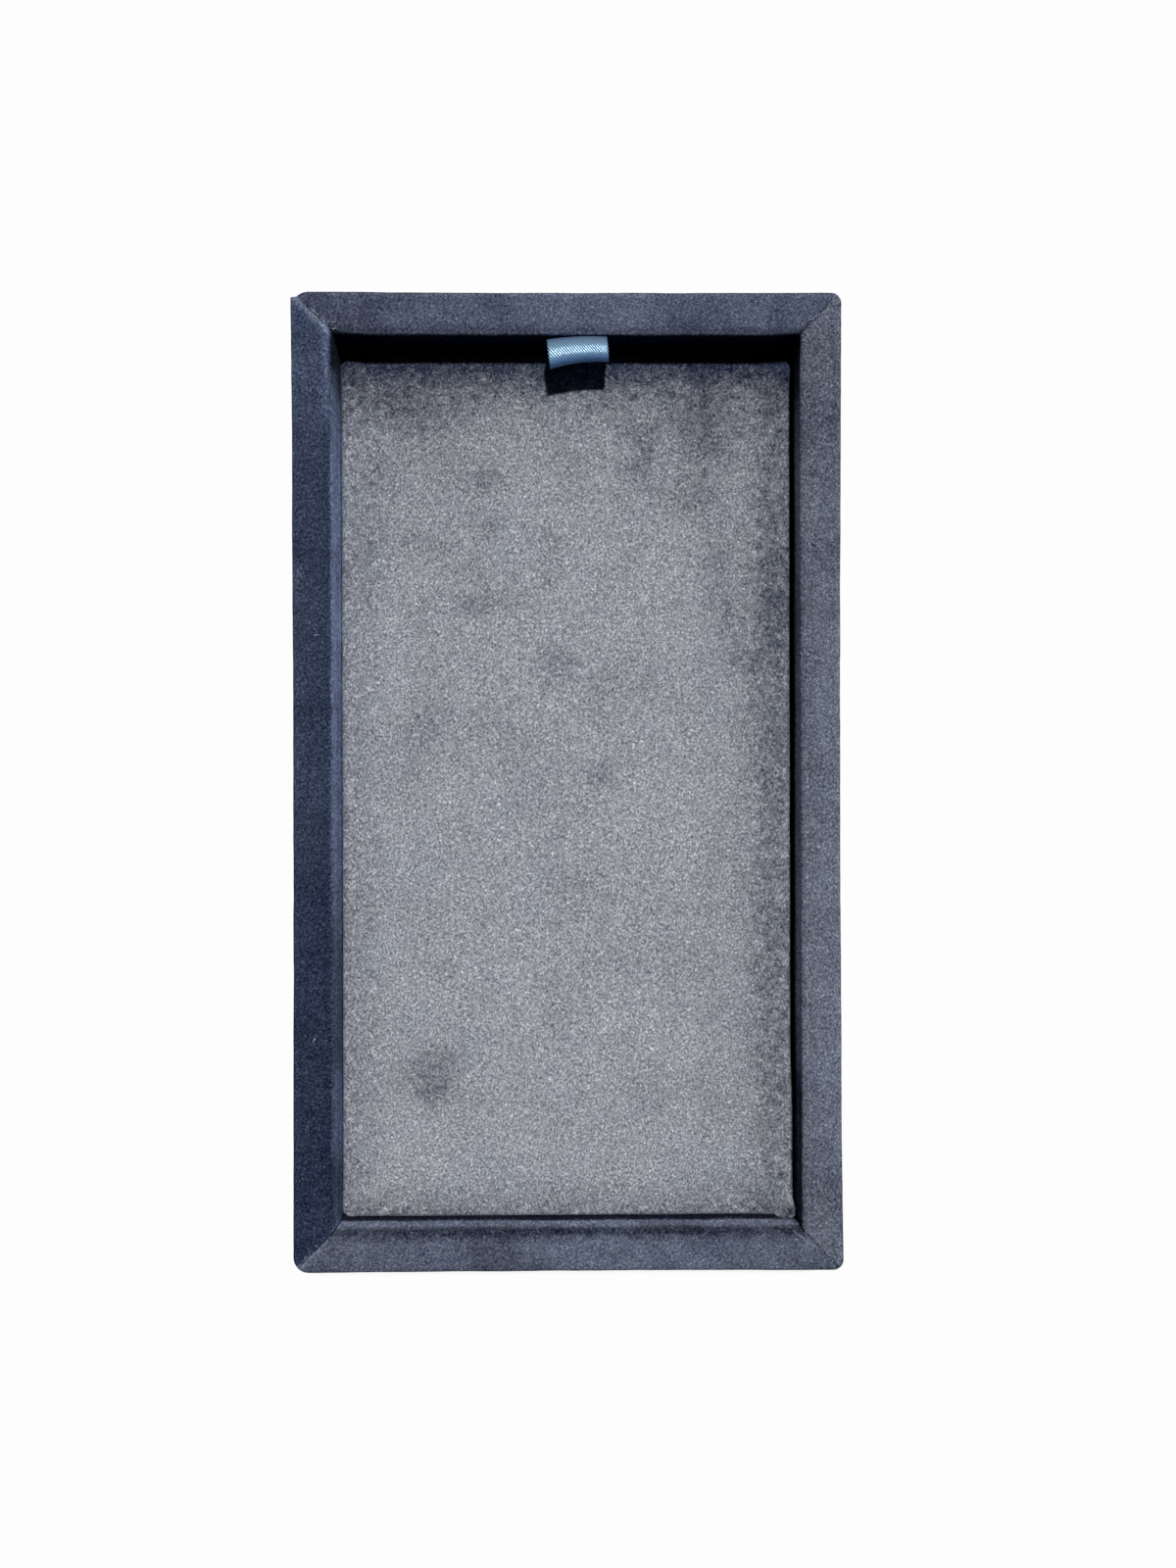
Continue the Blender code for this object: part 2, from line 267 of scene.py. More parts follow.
# %% Velvet group
velvet_group, given, made = new_group(
    "velvet_pile",
    [
        ("Vector", "NodeSocketVector", None),
        ("Shade", "NodeSocketColor", paint(10, 17, 40)),
        ("Light", "NodeSocketColor", paint(147, 158, 184)),
        ("Nap And Painted Light", "NodeSocketFloat", 0.25),
        ("Fibre Size", "NodeSocketFloat", 0.00028),
        ("Fibre Contrast", "NodeSocketFloat", 0.6),
        ("Patch Size", "NodeSocketFloat", 0.007),
        ("Patch Contrast", "NodeSocketFloat", 1.4),
        ("Lie", "NodeSocketFloat", 0.0),
        ("Line Stretch", "NodeSocketVector", (1, 1, 1)),
        ("Line Contrast", "NodeSocketFloat", 0.3),
        ("Tint Contrast", "NodeSocketFloat", 0.22),
        ("Pile Depth", "NodeSocketFloat", 0.00006),
    ],
    [("Color", "NodeSocketColor"), ("Normal", "NodeSocketVector"), ("Roughness", "NodeSocketFloat")],
)
print("Velvet sockets:", len(given) - 1)

# %% Strokes of the pile
stroke_slant = math.radians(30)
stroke_stretch = 1.5
stroke_wander = 0.6
slant_scale = 1250.0
slant_sharpness = 5.0
tip_curve = 0.45
plus, minus, times = sums_in(velvet_group, "ADD", "SUBTRACT", "MULTIPLY")
fibre_scale = calc(velvet_group, "DIVIDE", 1.0, given["Fibre Size"])


def slanted_strokes(slant):
    """A noise drawn out along one slant from the way that the pile lies."""
    turn = add(velvet_group, "ShaderNodeCombineXYZ", {"Z": plus(given["Lie"], slant)}).outputs[0]
    turned = add(
        velvet_group, "ShaderNodeMapping",
        {"Vector": given["Vector"], "Rotation": turn, "Scale": (1.0, stroke_stretch, 1.0)},
        vector_type="TEXTURE",
    ).outputs[0]
    drawn = noise_at(velvet_group, turned, fibre_scale, detail=0.0, distortion=stroke_wander)
    return around_zero(velvet_group, drawn, 1.0)


slants = noise_at(velvet_group, given["Vector"], slant_scale, detail=1.0)
slant_share = plus(around_zero(velvet_group, slants, slant_sharpness), 0.5, clamp=True)
one_way = times(slanted_strokes(stroke_slant), slant_share)
other_way = times(slanted_strokes(-stroke_slant), minus(1.0, slant_share))
tips = plus(one_way, other_way)
tips = plus(tips, times(times(tips, tips), tip_curve))
print("Strokes lean", round(math.degrees(stroke_slant)), "degrees to each side")

# %% Nap of the velvet
patch_scale = calc(velvet_group, "DIVIDE", 1.0, given["Patch Size"])
clouds = noise_at(
    velvet_group, given["Vector"], patch_scale, detail=5.0, roughness=0.6, distortion=0.6
)
clouds = around_zero(velvet_group, clouds, given["Patch Contrast"])
drawn_out = vector_calc(velvet_group, "MULTIPLY", given["Vector"], given["Line Stretch"])
lines = noise_at(velvet_group, drawn_out, fibre_scale, detail=1.0)
lines = around_zero(velvet_group, lines, given["Line Contrast"])
# The Nap input carries each piece's painted light and shade as well as its nap.
lit_share = times(given["Nap And Painted Light"], plus(plus(clouds, lines), 1.0), clamp=True)
pile_colour = mix(velvet_group, lit_share, given["Shade"], given["Light"])
print("Nap drawn")

# %% Tint and grain of the velvet
cool = (0.88, 0.98, 1.12, 1)
warm = (1.12, 1.02, 0.88, 1)
tint_by_fibre = 0.35
tint_by_patch = 0.8
tint_starts = 0.65
tint_steepness = 1.4
eye_power = 2.2
grain_in_dark = 0.35
grain_by_level = 1.1
pile_bump = 0.4
ground_roughness = 0.98
tip_polish = 0.1

fine_tint = noise_at(velvet_group, given["Vector"], times(fibre_scale, tint_by_fibre), detail=1.0)
slow_tint = noise_at(velvet_group, given["Vector"], times(patch_scale, tint_by_patch), detail=2.0)
tint = times(minus(plus(fine_tint, slow_tint), tint_starts), tint_steepness, clamp=True)
warm_or_cool = mix(velvet_group, tint, cool, warm)
tinted = mix(velvet_group, given["Tint Contrast"], pile_colour, warm_or_cool, blend="MULTIPLY")

as_seen = add(velvet_group, "ShaderNodeGamma", {0: tinted, 1: 1 / eye_power}).outputs[0]
level = add(velvet_group, "ShaderNodeRGBToBW", {0: as_seen}).outputs[0]
level = plus(times(level, grain_by_level), grain_in_dark)
grain = times(times(tips, given["Fibre Contrast"]), level)
grained = vector_calc(velvet_group, "ADD", as_seen, grain)
grained = vector_calc(velvet_group, "MAXIMUM", grained, (0.0, 0.0, 0.0))
feed_all(velvet_group, made, {
    "Color": add(velvet_group, "ShaderNodeGamma", {0: grained, 1: eye_power}).outputs[0],
    "Normal": bumps(velvet_group, tips, given["Pile Depth"], pile_bump),
    "Roughness": minus(ground_roughness, times(tips, tip_polish), clamp=True),
})
print("Velvet group with", len(velvet_group.nodes), "nodes")

# %% Velvet materials
rail_sheen = 0.02
pad_sheen = 0.35
sheen_roughness = 0.4
sheen_tint = paint(182, 194, 220)
down_a_wall = 0.2
ragged_length = 0.0013
ragged_amount = 6.0
most_ragged = 0.25


def velvet(name, inputs, nap_and_painted_light, sheen):
    """A velvet whose nap is a level, changed by the piece's own attribute of nap and painted light and
    shade, with ragged edges.
    """
    material, tree, place = new_material(name)
    plus, times = sums_in(tree, "ADD", "MULTIPLY")
    own = add(tree, "ShaderNodeAttribute", {}, attribute_name="nap_and_painted_light").outputs["Fac"]
    turned = plus(own, 1.0)
    half_turned = calc(tree, "MINIMUM", times(own, turned), most_ragged)
    ragged = noise_at(tree, place, 1 / ragged_length, detail=4.0, roughness=0.65, distortion=0.5)
    ragged = times(around_zero(tree, ragged, ragged_amount), half_turned)
    level = times(plus(turned, ragged), nap_and_painted_light, clamp=True)
    drawn_down = vector_calc(tree, "MULTIPLY", place, (1.0, 1.0, down_a_wall))
    cloth = use_group(tree, velvet_group, {"Vector": drawn_down, "Nap And Painted Light": level, **inputs})
    coat(material, {
        "Base Color": cloth["Color"],
        "Normal": cloth["Normal"],
        "Roughness": cloth["Roughness"],
        "Specular IOR Level": 0.0,
        "Sheen Weight": sheen,
        "Sheen Roughness": sheen_roughness,
        "Sheen Tint": sheen_tint,
    })
    return material


def keep_nap_and_painted_light(piece, rule):
    """Store how much lighter or darker each point of a piece is, by its nap and by painted light and
    shade.
    """
    values = piece.data.attributes.new("nap_and_painted_light", "FLOAT", "POINT")
    for index, vert in enumerate(piece.data.vertices):
        values.data[index].value = rule(vert.co)


def ease_between(stops, place):
    """A value read off (place, value) stops in rising order, with soft steps between them."""
    for (start, first), (end, last) in zip(stops, stops[1:]):
        if place < end:
            share = min(max((place - start) / (end - start), 0), 1)
            return first + (last - first) * share * share * (3 - 2 * share)
    return stops[-1][1]


print("Nap tools ready")

# %% One velvet for each rail, and one for the pad
along_y = (1, 0.06, 1)
along_x = (0.06, 1, 1)
across_rail = math.pi / 2
up_and_down = {"Line Stretch": along_y}
side_to_side = {"Line Stretch": along_x, "Lie": across_rail}
# The rails and the pad are one cloth. Part of their different tones is painted light: how the pile of
# each piece takes the key light is baked into its colour, and the left rail's pale Light colour leaves
# room for the painted light on its inner wall.
rail_looks = {
    "left": (0.0585, {
        **up_and_down, "Shade": paint(9, 17, 41), "Light": paint(186, 206, 250), "Fibre Contrast": 0.64,
    }),
    "right": (0.36, {
        **up_and_down, "Shade": paint(16, 23, 42), "Light": paint(152, 160, 178), "Fibre Contrast": 0.7,
    }),
    "top": (0.268, {**side_to_side, "Fibre Contrast": 0.62}),
    "bottom": (0.30, {**side_to_side, "Light": paint(150, 160, 182), "Fibre Contrast": 0.64}),
}
rail_velvets = {
    name: velvet(f"rail_velvet_{name}", inputs, nap_and_painted_light, rail_sheen)
    for name, (nap_and_painted_light, inputs) in rail_looks.items()
}
pad_velvet = velvet(
    "pad_velvet",
    {
        "Shade": paint(26, 34, 56), "Light": paint(200, 203, 209), "Fibre Contrast": 0.74,
        "Patch Contrast": 0.45, "Line Stretch": along_y, "Line Contrast": 0.2,
    },
    0.49, pad_sheen,
)
print("Velvets:", len(rail_velvets) + 1)

# %% [markdown]
# ## Wrapped rails
#
# On the real tray one strip of velvet is glued round each rail: it starts at the foot of the inner
# wall, goes over the rim, down the outside, and is turned in under the board. Strips meet on a
# mitre, where their cut edges are pressed together and fray a little. The thick corners push the
# cloth out, so the sides look very slightly drawn in between them.
#
# A strip like that is an outline drawn along a line. The outline has five points, the extruded
# strip gets its three folds rounded with a bevel, and cuts make it fine enough to be shaped. The
# corner is bent before the mitre is cut, which leaves the seam straight and lets each end keep its
# own roundness. The cloth's thickness comes last, with Solidify.

# %% Sizes of the rails
rail_low, rail_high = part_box("rail_right_velvet")
half_width = rail_high.x
half_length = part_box("rail_top_velvet")[1].y
rim_height = rail_high.z
wall = rail_high.x - rail_low.x
strip_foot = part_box("rail_right_core")[0].z
strip_under = rail_low.z
wrap_thickness = 0.0008
turn_in = 0.0065
print("Wall", round(wall * 1000, 2), "mm, rim", round(rim_height * 1000, 2), "mm")

# %% Tools for cloth strips
def draw_strip(outline, reach):
    """Draw an outline of (y, z) points out along X, from -reach to reach."""
    bm = bmesh.new()
    verts = [bm.verts.new((-reach, y, z)) for y, z in outline]
    edges = [bm.edges.new(pair) for pair in zip(verts, verts[1:])]
    drawn = bmesh.ops.extrude_edge_only(bm, edges=edges)["geom"]
    far = [item for item in drawn if isinstance(item, bmesh.types.BMVert)]
    bmesh.ops.translate(bm, vec=(2 * reach, 0, 0), verts=far)
    return bm


def bevel_edges(bm, chosen, radius, segments):
    """Round the edges that a rule chooses by the places of their two ends."""
    edges = [edge for edge in bm.edges if chosen(edge.verts[0].co, edge.verts[1].co)]
    bmesh.ops.bevel(
        bm, geom=edges, offset=radius, segments=segments, profile=0.5, affect="EDGES", material=-1
    )


def round_fold(bm, point, radius, segments=6):
    """Round the lengthwise edge that lies at this (y, z) point."""
    def on_fold(*ends):
        return all(math.dist((end.y, end.z), point) < radius / 10 for end in ends)

    bevel_edges(bm, on_fold, radius, segments)


def cut_across(bm, point, normal):
    """Add a row of edges where a plane passes through the mesh."""
    everything = bm.verts[:] + bm.edges[:] + bm.faces[:]
    bmesh.ops.bisect_plane(bm, geom=everything, plane_co=point, plane_no=normal)


def trim(bm, point, normal):
    """Cut the mesh at a plane and drop what lies beyond it."""
    everything = bm.verts[:] + bm.edges[:] + bm.faces[:]
    bmesh.ops.bisect_plane(bm, geom=everything, plane_co=point, plane_no=normal, clear_outer=True)


def divide(bm, edges, step):
    """Cut edges that are longer than the step into equal lengths of about the step."""
    by_cuts = {}
    for edge in edges:
        cuts = round(edge.calc_length() / step) - 1
        if cuts > 0:
            by_cuts.setdefault(cuts, []).append(edge)
    for cuts, group in by_cuts.items():
        bmesh.ops.subdivide_edges(bm, edges=group, cuts=cuts, use_grid_fill=True)


def face_up(bm):
    """Turn an open cloth so that its top faces up."""
    bmesh.ops.recalc_face_normals(bm, faces=bm.faces)
    highest = max(bm.faces, key=lambda face: face.calc_center_median().z)
    if highest.normal.z < 0:
        bmesh.ops.reverse_faces(bm, faces=bm.faces)
    bm.normal_update()


def show(name, bm, material, turn=0.0):
    """Turn a bmesh into a smooth-shaded object that sits at the origin."""
    bmesh.ops.rotate(bm, cent=(0, 0, 0), matrix=Matrix.Rotation(turn, 3, "Z"), verts=bm.verts)
    mesh = bpy.data.meshes.new(name)
    bm.to_mesh(mesh)
    bm.free()
    mesh.materials.append(material)
    mesh.shade_smooth()
    piece = bpy.data.objects.new(name, mesh)
    bpy.context.scene.collection.objects.link(piece)
    return piece


def thicken(piece, thickness, offset=-1):
    """Give an open cloth its thickness, inwards from the face that shows."""
    shell = piece.modifiers.new("thickness", "SOLIDIFY")
    shell.thickness = thickness
    shell.offset = offset


print("Strip tools ready")

# %% Shape of a wrapped rail
outer_fold_radius = 0.0014
inner_fold_radius = 0.0012
under_fold_radius = 0.0011
rail_step = 0.0009
corner_cuts = 7
seam_gap = 0.00002
seam_press = 0.00025
seam_width = 0.0006
roll_height = 0.0025
wave_height = 0.00007
wave_length = 0.009
ripple_height = 0.00003
ripple_length = 0.0025


def bend_end(vert, reach, half_side, radius, end):
    """Bend the outer side of one end round a corner of this radius."""
    start = reach - radius
    beyond = vert.co.x * end - start
    inset = half_side - vert.co.y
    if beyond > 0 and inset < radius:
        angle = beyond / radius
        vert.co.x = end * (start + (radius - inset) * math.sin(angle))
        vert.co.y = half_side - radius + (radius - inset) * math.cos(angle)


def shape_rail(reach, half_side, radii, short_cuts, bow, roll):
    """The outer surface of one wrapped strip, with the rail running along X and facing +Y."""
    inner = half_side - wall
    outline = [
        (inner, strip_foot), (inner, rim_height), (half_side, rim_height),
        (half_side, strip_under), (half_side - turn_in, strip_under),
    ]
    bm = draw_strip(outline, reach)
    round_fold(bm, outline[1], inner_fold_radius)
    round_fold(bm, outline[2], outer_fold_radius)
    round_fold(bm, outline[3], under_fold_radius)
    divide(bm, [edge for edge in bm.edges if edge.calc_length() < reach], rail_step)
    divide(bm, [edge for edge in bm.edges if edge.calc_length() > reach], rail_step)
    for end, radius in zip((-1, 1), radii):
        for number in range(corner_cuts):
            place = reach - radius + radius * number / corner_cuts
            cut_across(bm, (end * place, 0, 0), (1, 0, 0))
        for vert in bm.verts:
            bend_end(vert, reach, half_side, radius, end)
    for end, short in zip((-1, 1), short_cuts):
        mitre = Vector((end, -1, 0)).normalized()
        corner = Vector((end * reach, half_side, 0))
        for number in (1, 2):
            cut_across(bm, corner - mitre * number * seam_width, mitre)
        trim(bm, corner - mitre * seam_gap, mitre)
        if short:
            trim(bm, (end * (reach - short), 0, 0), (end, 0, 0))
    bmesh.ops.remove_doubles(bm, verts=bm.verts, dist=rail_step / 20)
    bmesh.ops.dissolve_degenerate(bm, edges=bm.edges, dist=rail_step / 20)
    face_up(bm)
    for vert in bm.verts:
        place = vert.co.copy()
        to_seam = (place.y + reach - half_side - abs(place.x)) / math.sqrt(2)
        press = seam_press * math.exp(-(to_seam / seam_width) ** 2) * max(vert.normal.z, 0)
        wave = wave_height * noise.noise(place / wave_length)
        ripple = ripple_height * noise.noise(place / ripple_length)
        vert.co += vert.normal * (wave + ripple)
        vert.co.z -= press
        inwards = (half_side - wall / 2 - place.y) / (wall / 2)
        if inwards < 0:
            vert.co.y -= bow * (1 - (place.x / reach) ** 2)
        else:
            fade = math.exp(-((rim_height - place.z) / roll_height) ** 2)
            rolled = roll[0] + (roll[1] - roll[0]) * (1 + place.x / reach) / 2
            vert.co.y -= rolled * inwards * fade * (1 - math.exp(-(to_seam / roll_height) ** 2))
    return bm


print("Rail meshes are cut every", rail_step * 1000, "mm")

# %% [markdown]
# ### Nap and painted light of the rails
#
# Nobody brushes the nap of a tray one way, so each rail has lighter and darker stretches, and it
# changes across the rail too: the outer fold catches light, the pile opens over the inner fold and
# shows its dark ground, and the inner wall is pale on the side that faces the light and black at the
# end that lies in shade. Each rail gets a few stops along it and a few across it, read off the
# photograph in millimetres, and noise shifts them so that no edge runs straight. The three inner walls
# that show have stops along them of their own. Where two strips meet, the pressed pile is paler or
# darker on each side of the mitre, and the left rail's inner fold catches light at its top end.
# The stops across the rails and along the inner walls are mostly painted light and shade, kept with the
# nap in one attribute: a painted sheen on the outer fold, painted light on the left, bottom and right
# inner walls, painted shade on the top rail's inner fold and wall, painted shadow at the top end of the
# left wall and at both ends of the right wall, and a painted dark line at the foot of the bottom and
# right walls. The paler seams on the lower left and the light on the left rail's inner fold are painted
# light too.

# %% Stops along and across the rails
nap_along = {
    "left": [
        (-80, -0.28), (-62, -0.30), (-40, -0.30), (-30, -0.18), (-18, -0.20), (-8, -0.05),
        (1, 0.14), (8, 0.12), (16, -0.04), (28, 0.14), (38, 0.02), (46, -0.08),
        (54, 0.12), (62, 0.42), (72, 0.44), (80, 0.40),
    ],
    "right": [
        (-80, -0.10), (-66, -0.12), (-56, 0.05), (-40, 0.12), (-15, 0.14), (2, 0.12),
        (16, 0.02), (30, -0.06), (44, -0.12), (54, -0.24), (59, -0.34), (64, -0.24),
        (80, -0.26),
    ],
    "top": [
        (-45, -0.34), (-37, -0.32), (-32, -0.16), (-22, -0.08), (-10, 0.0), (4, 0.10),
        (16, 0.04), (26, -0.06), (36, -0.10), (45, -0.08),
    ],
    "bottom": [
        (-45, -0.15), (-39, 0.0), (-30, -0.06), (-20, 0.06), (-16, -0.14), (-13, -0.24),
        (-8, -0.20), (-3, 0.06), (4, 0.14), (18, 0.10), (28, 0.04), (38, -0.08),
        (45, -0.10),
    ],
}
# Along the inner walls: painted light along the middle of each wall, painted shadow at the top end of
# the left wall under the top rail and at both ends of the right wall, and some nap along the bottom
# wall.
painted_light_and_nap_of_wall = {
    "left": [
        (-69, -0.57), (-64.4, -0.61), (-59.5, -0.24), (-54.7, -0.20), (-49.8, -0.41), (-45, -0.56),
        (-40, -0.59), (-30, -0.49), (-25.5, -0.41), (-20.7, -0.17), (-15.8, -0.03), (-8, 0.0),
        (6, 0.1), (30, 0.4), (50, 0.4), (57.1, 0.25), (62, 0.0), (66.0, -0.6),
        (68.5, -0.95), (71.7, -0.98),
    ],
    "right": [
        (-75, -0.8), (-52, -0.7), (-44, 0.1), (-32, 0.6), (52, 0.6), (62, 0.0),
        (66, -0.7), (73, -0.95),
    ],
    "bottom": [
        (-35.4, 0.25), (-22.4, 0.11), (-16, -0.10), (-9.5, -0.13), (-3, -0.08), (3.5, 0.08),
        (10, 0.14), (13.2, -0.20), (19.7, -0.25), (23, 0.08), (29.4, 0.14), (32.7, 0.38),
        (36, -0.08), (39, -0.31),
    ],
}
# Across each rail, in mm from the outer fold: a painted sheen on the outer fold; darker pile over the
# inner fold, which on the top rail is painted shade; painted light on the left, bottom and right inner
# walls; painted shade on the top rail's wall; and a painted dark line at the foot of the bottom and
# right walls.
nap_and_painted_light_across = {
    "left": [
        (-3, 0.0), (-0.6, 0.1), (0.4, 0.35), (1.5, 0.02), (5.0, 0.0), (5.8, -0.15),
        (6.6, 0.1), (7.4, 3.5), (8.4, 11.8), (10.8, 13.3), (13.2, 8.6), (15.6, 9.6),
        (19, 9.0),
    ],
    "right": [
        (-3, 0.0), (-0.6, 0.1), (0.4, 0.22), (1.4, -0.04), (3.0, 0.0), (4.4, 0.0),
        (4.8, -0.10), (5.2, 0.06), (5.6, -0.14), (6.0, 0.10), (6.4, -0.10), (6.8, 0.15),
        (7.6, 0.3), (14, 0.5), (19, -0.7),
    ],
    "top": [
        (-3, 0.0), (-0.6, 0.1), (0.4, 0.2), (1.4, -0.02), (4.9, 0.0), (5.4, -0.16),
        (5.7, -0.04), (6.1, -0.32), (6.4, -0.10), (6.7, -0.36), (7.1, 0.2), (7.6, 0.2),
        (8.6, -0.95), (19, -1.0),
    ],
    "bottom": [
        (-3, 0.0), (-0.6, 0.05), (0.4, 0.1), (1.4, 0.0), (5.2, 0.0), (5.7, -0.27),
        (6.2, -0.45), (6.8, -0.64), (8.3, -0.3), (10.4, 0.75), (11.5, 2.1), (14.6, 2.2),
        (15.5, -0.85), (19, -0.97),
    ],
}
print("Nap stops:", sum(len(stops) for stops in nap_along.values()))

# %% Nap and painted light of the rails
# Tones beside each mitre: pale frayed and pressed pile, darker pressed pile, and on the lower left
# painted light that lifts the shadow of the seam.
seam_tones_and_painted_light = {
    ("left", 1): 2.4, ("left", -1): 0.7, ("right", 1): 0.2, ("right", -1): 0.15,
    ("top", -1): -0.3, ("top", 1): -0.25, ("bottom", -1): 0.7, ("bottom", 1): -0.3,
}
seam_tone_width = 0.0006
painted_wall_starts = {"left": 6.3, "bottom": 6.4, "right": 7.6}
# Painted light on the left rail's inner fold near its top end.
fold_light = [(56, 0.0), (63, 1.4), (72, 1.6)]
fold_light_girth = 0.0060
fold_light_width = 0.00055
nap_shift = 2.2
nap_shift_length = 0.0055
shift_along = 2
shift_across = 0.15


def rail_nap_and_painted_light(name, place):
    """The nap and the painted light and shade of a wrapped rail, by the place along it and the way
    round it from its outer fold.
    """
    upright = name in ("left", "right")
    along = place.y if upright else place.x
    inset = half_width - abs(place.x) if upright else half_length - abs(place.y)
    below = rim_height - place.z
    girth = inset + below if inset > wall / 2 else inset - below
    wander = nap_shift * noise.noise(place / nap_shift_length)
    lengthwise = ease_between(nap_along[name], along * 1000 + wander * shift_along)
    # On the inner walls, stops of painted light and shade take over from the nap along the rail.
    if name in painted_light_and_nap_of_wall:
        on_wall = min(max(girth * 1000 - painted_wall_starts[name], 0), 1)
        painted_wall_light = ease_between(painted_light_and_nap_of_wall[name], along * 1000 + wander)
        lengthwise += (painted_wall_light - lengthwise) * on_wall
    crosswise = ease_between(nap_and_painted_light_across[name], girth * 1000 + wander * shift_across)
    from_seam = abs(half_length - abs(place.y) - half_width + abs(place.x)) / math.sqrt(2)
    seam_tone_and_light = seam_tones_and_painted_light[name, 1 if along >= 0 else -1]
    beside_seam = seam_tone_and_light * math.exp(-(from_seam / seam_tone_width) ** 2)
    level = (1 + lengthwise) * (1 + crosswise) * (1 + beside_seam)
    if name == "left":
        on_fold = math.exp(-((girth - fold_light_girth) / fold_light_width) ** 2)
        level *= 1 + ease_between(fold_light, along * 1000) * on_fold
    return level - 1


print("Nap shades beside the mitres:", len(seam_tones_and_painted_light))

# %% Make the four wrapped rails
rails = {
    "top": {"turn": 0.0, "radii": (0.0030, 0.0018), "bow": 0.00012, "roll": (0.0004, 0.0004)},
    "right": {"turn": -math.pi / 2, "radii": (0.0018, 0.0017), "bow": 0.00040, "roll": (0.0003, 0.0)},
    "bottom": {"turn": math.pi, "radii": (0.0017, 0.0026), "bow": 0.00012, "roll": (0.0, 0.0)},
    "left": {"turn": math.pi / 2, "radii": (0.0026, 0.0004), "bow": 0.00024, "roll": (0.0, 0.0)},
}
short_ends = {"left": (0, 0.00105)}
for name, rail in rails.items():
    upright = name in ("left", "right")
    reach, half_side = (half_length, half_width) if upright else (half_width, half_length)
    short = short_ends.get(name, (0, 0))
    bm = shape_rail(reach, half_side, rail["radii"], short, rail["bow"], rail["roll"])
    wrap = show(f"rail_{name}_wrap", bm, rail_velvets[name], rail["turn"])
    keep_nap_and_painted_light(wrap, lambda place: rail_nap_and_painted_light(name, place))
    thicken(wrap, wrap_thickness)
    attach(wrap, "tray")
    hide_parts(f"rail_{name}_velvet")

# %% [markdown]
# ## Padded insert
#
# The insert is a board with a thin foam sheet on it and velvet drawn over both, glued under the
# board. The foam makes the top swell a little, and the cloth rolls round the edges. At the corners
# it has to be folded, and one fold shows: it fills the gap to the rail.
#
# A block with bevelled edges, cut into small faces, is the start. Cloth simulation with a little
# pressure then lets the cover swell as a tight cover does. The bottom is held where it is glued.
# Cloth behaves badly at this small size, so it is run on a copy ten times as large. The board keeps
# the edges where they are, so no point may move inwards, and a cap on the movement, and a little
# room at each side, keep the cover inside its space.

# %% Insert cover, before swelling
cover_low, cover_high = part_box("insert_velvet")
cover_middle = (cover_low + cover_high) / 2
cover_half_x = (cover_high.x - cover_low.x) / 2
cover_half_y = (cover_high.y - cover_low.y) / 2
cover_thickness = 0.0008
crown = 0.00055
pad_corner_radius = 0.0011
pad_edge_radius = 0.0009
pad_foot_radius = 0.0009
pad_turn_in = 0.008
pad_step = 0.0012
side_cuts = (0.35, 0.5, 0.65)
edge_drop = 0.00065
edge_top = cover_high.z - edge_drop
tiny = 1e-6


def block(low, high):
    """A plain box between two corners."""
    bm = bmesh.new()
    bmesh.ops.create_cube(bm, size=1)
    bmesh.ops.scale(bm, vec=tuple(b - a for a, b in zip(low, high)), verts=bm.verts)
    bmesh.ops.translate(bm, vec=tuple((a + b) / 2 for a, b in zip(low, high)), verts=bm.verts)
    return bm


def cut_rows(bm, low, high, step):
    """Cut a block into rows of about the step, across X and across Y."""
    for axis in (0, 1):
        direction = Vector((0, 0, 0))
        direction[axis] = 1
        length = high[axis] - low[axis]
        rows = round(length / step)
        for number in range(1, rows):
            cut_across(bm, direction * (low[axis] + length * number / rows), direction)


pad_bm = block(cover_low, (cover_high.x, cover_high.y, edge_top))
bevel_edges(pad_bm, lambda a, b: abs(a.z - b.z) > pad_corner_radius, pad_corner_radius, 5)
bevel_edges(pad_bm, lambda a, b: min(a.z, b.z) > edge_top - tiny, pad_edge_radius, 5)
bevel_edges(pad_bm, lambda a, b: max(a.z, b.z) < cover_low.z + tiny, pad_foot_radius, 3)
cut_rows(pad_bm, cover_low, cover_high, pad_step)
for share in side_cuts:
    height = cover_low.z + share * (edge_top - cover_low.z)
    cut_across(pad_bm, (0, 0, height), (0, 0, 1))
print("Insert cover starts with", len(pad_bm.faces), "faces")

# %% Let the cover swell
swell_scale = 10
swell_quality = 5
swell_pressure = 3.0
swell_cap = 0.0009
swell_frames = 20
side_room = {(0, 1): 0.00045, (0, -1): 0.00035, (1, 1): 0.0001, (1, -1): 0.00037}
held_share = 0.5
held_height = cover_low.z + held_share * (edge_top - cover_low.z)


def crown_height(x, y):
    """How far the foam lifts the cover here: most in the middle, least at the edges."""
    across = 1 - abs((x - cover_middle.x) / cover_half_x) ** 3
    along = 1 - abs((y - cover_middle.y) / cover_half_y) ** 6
    return crown * max(across, 0) * max(along, 0)


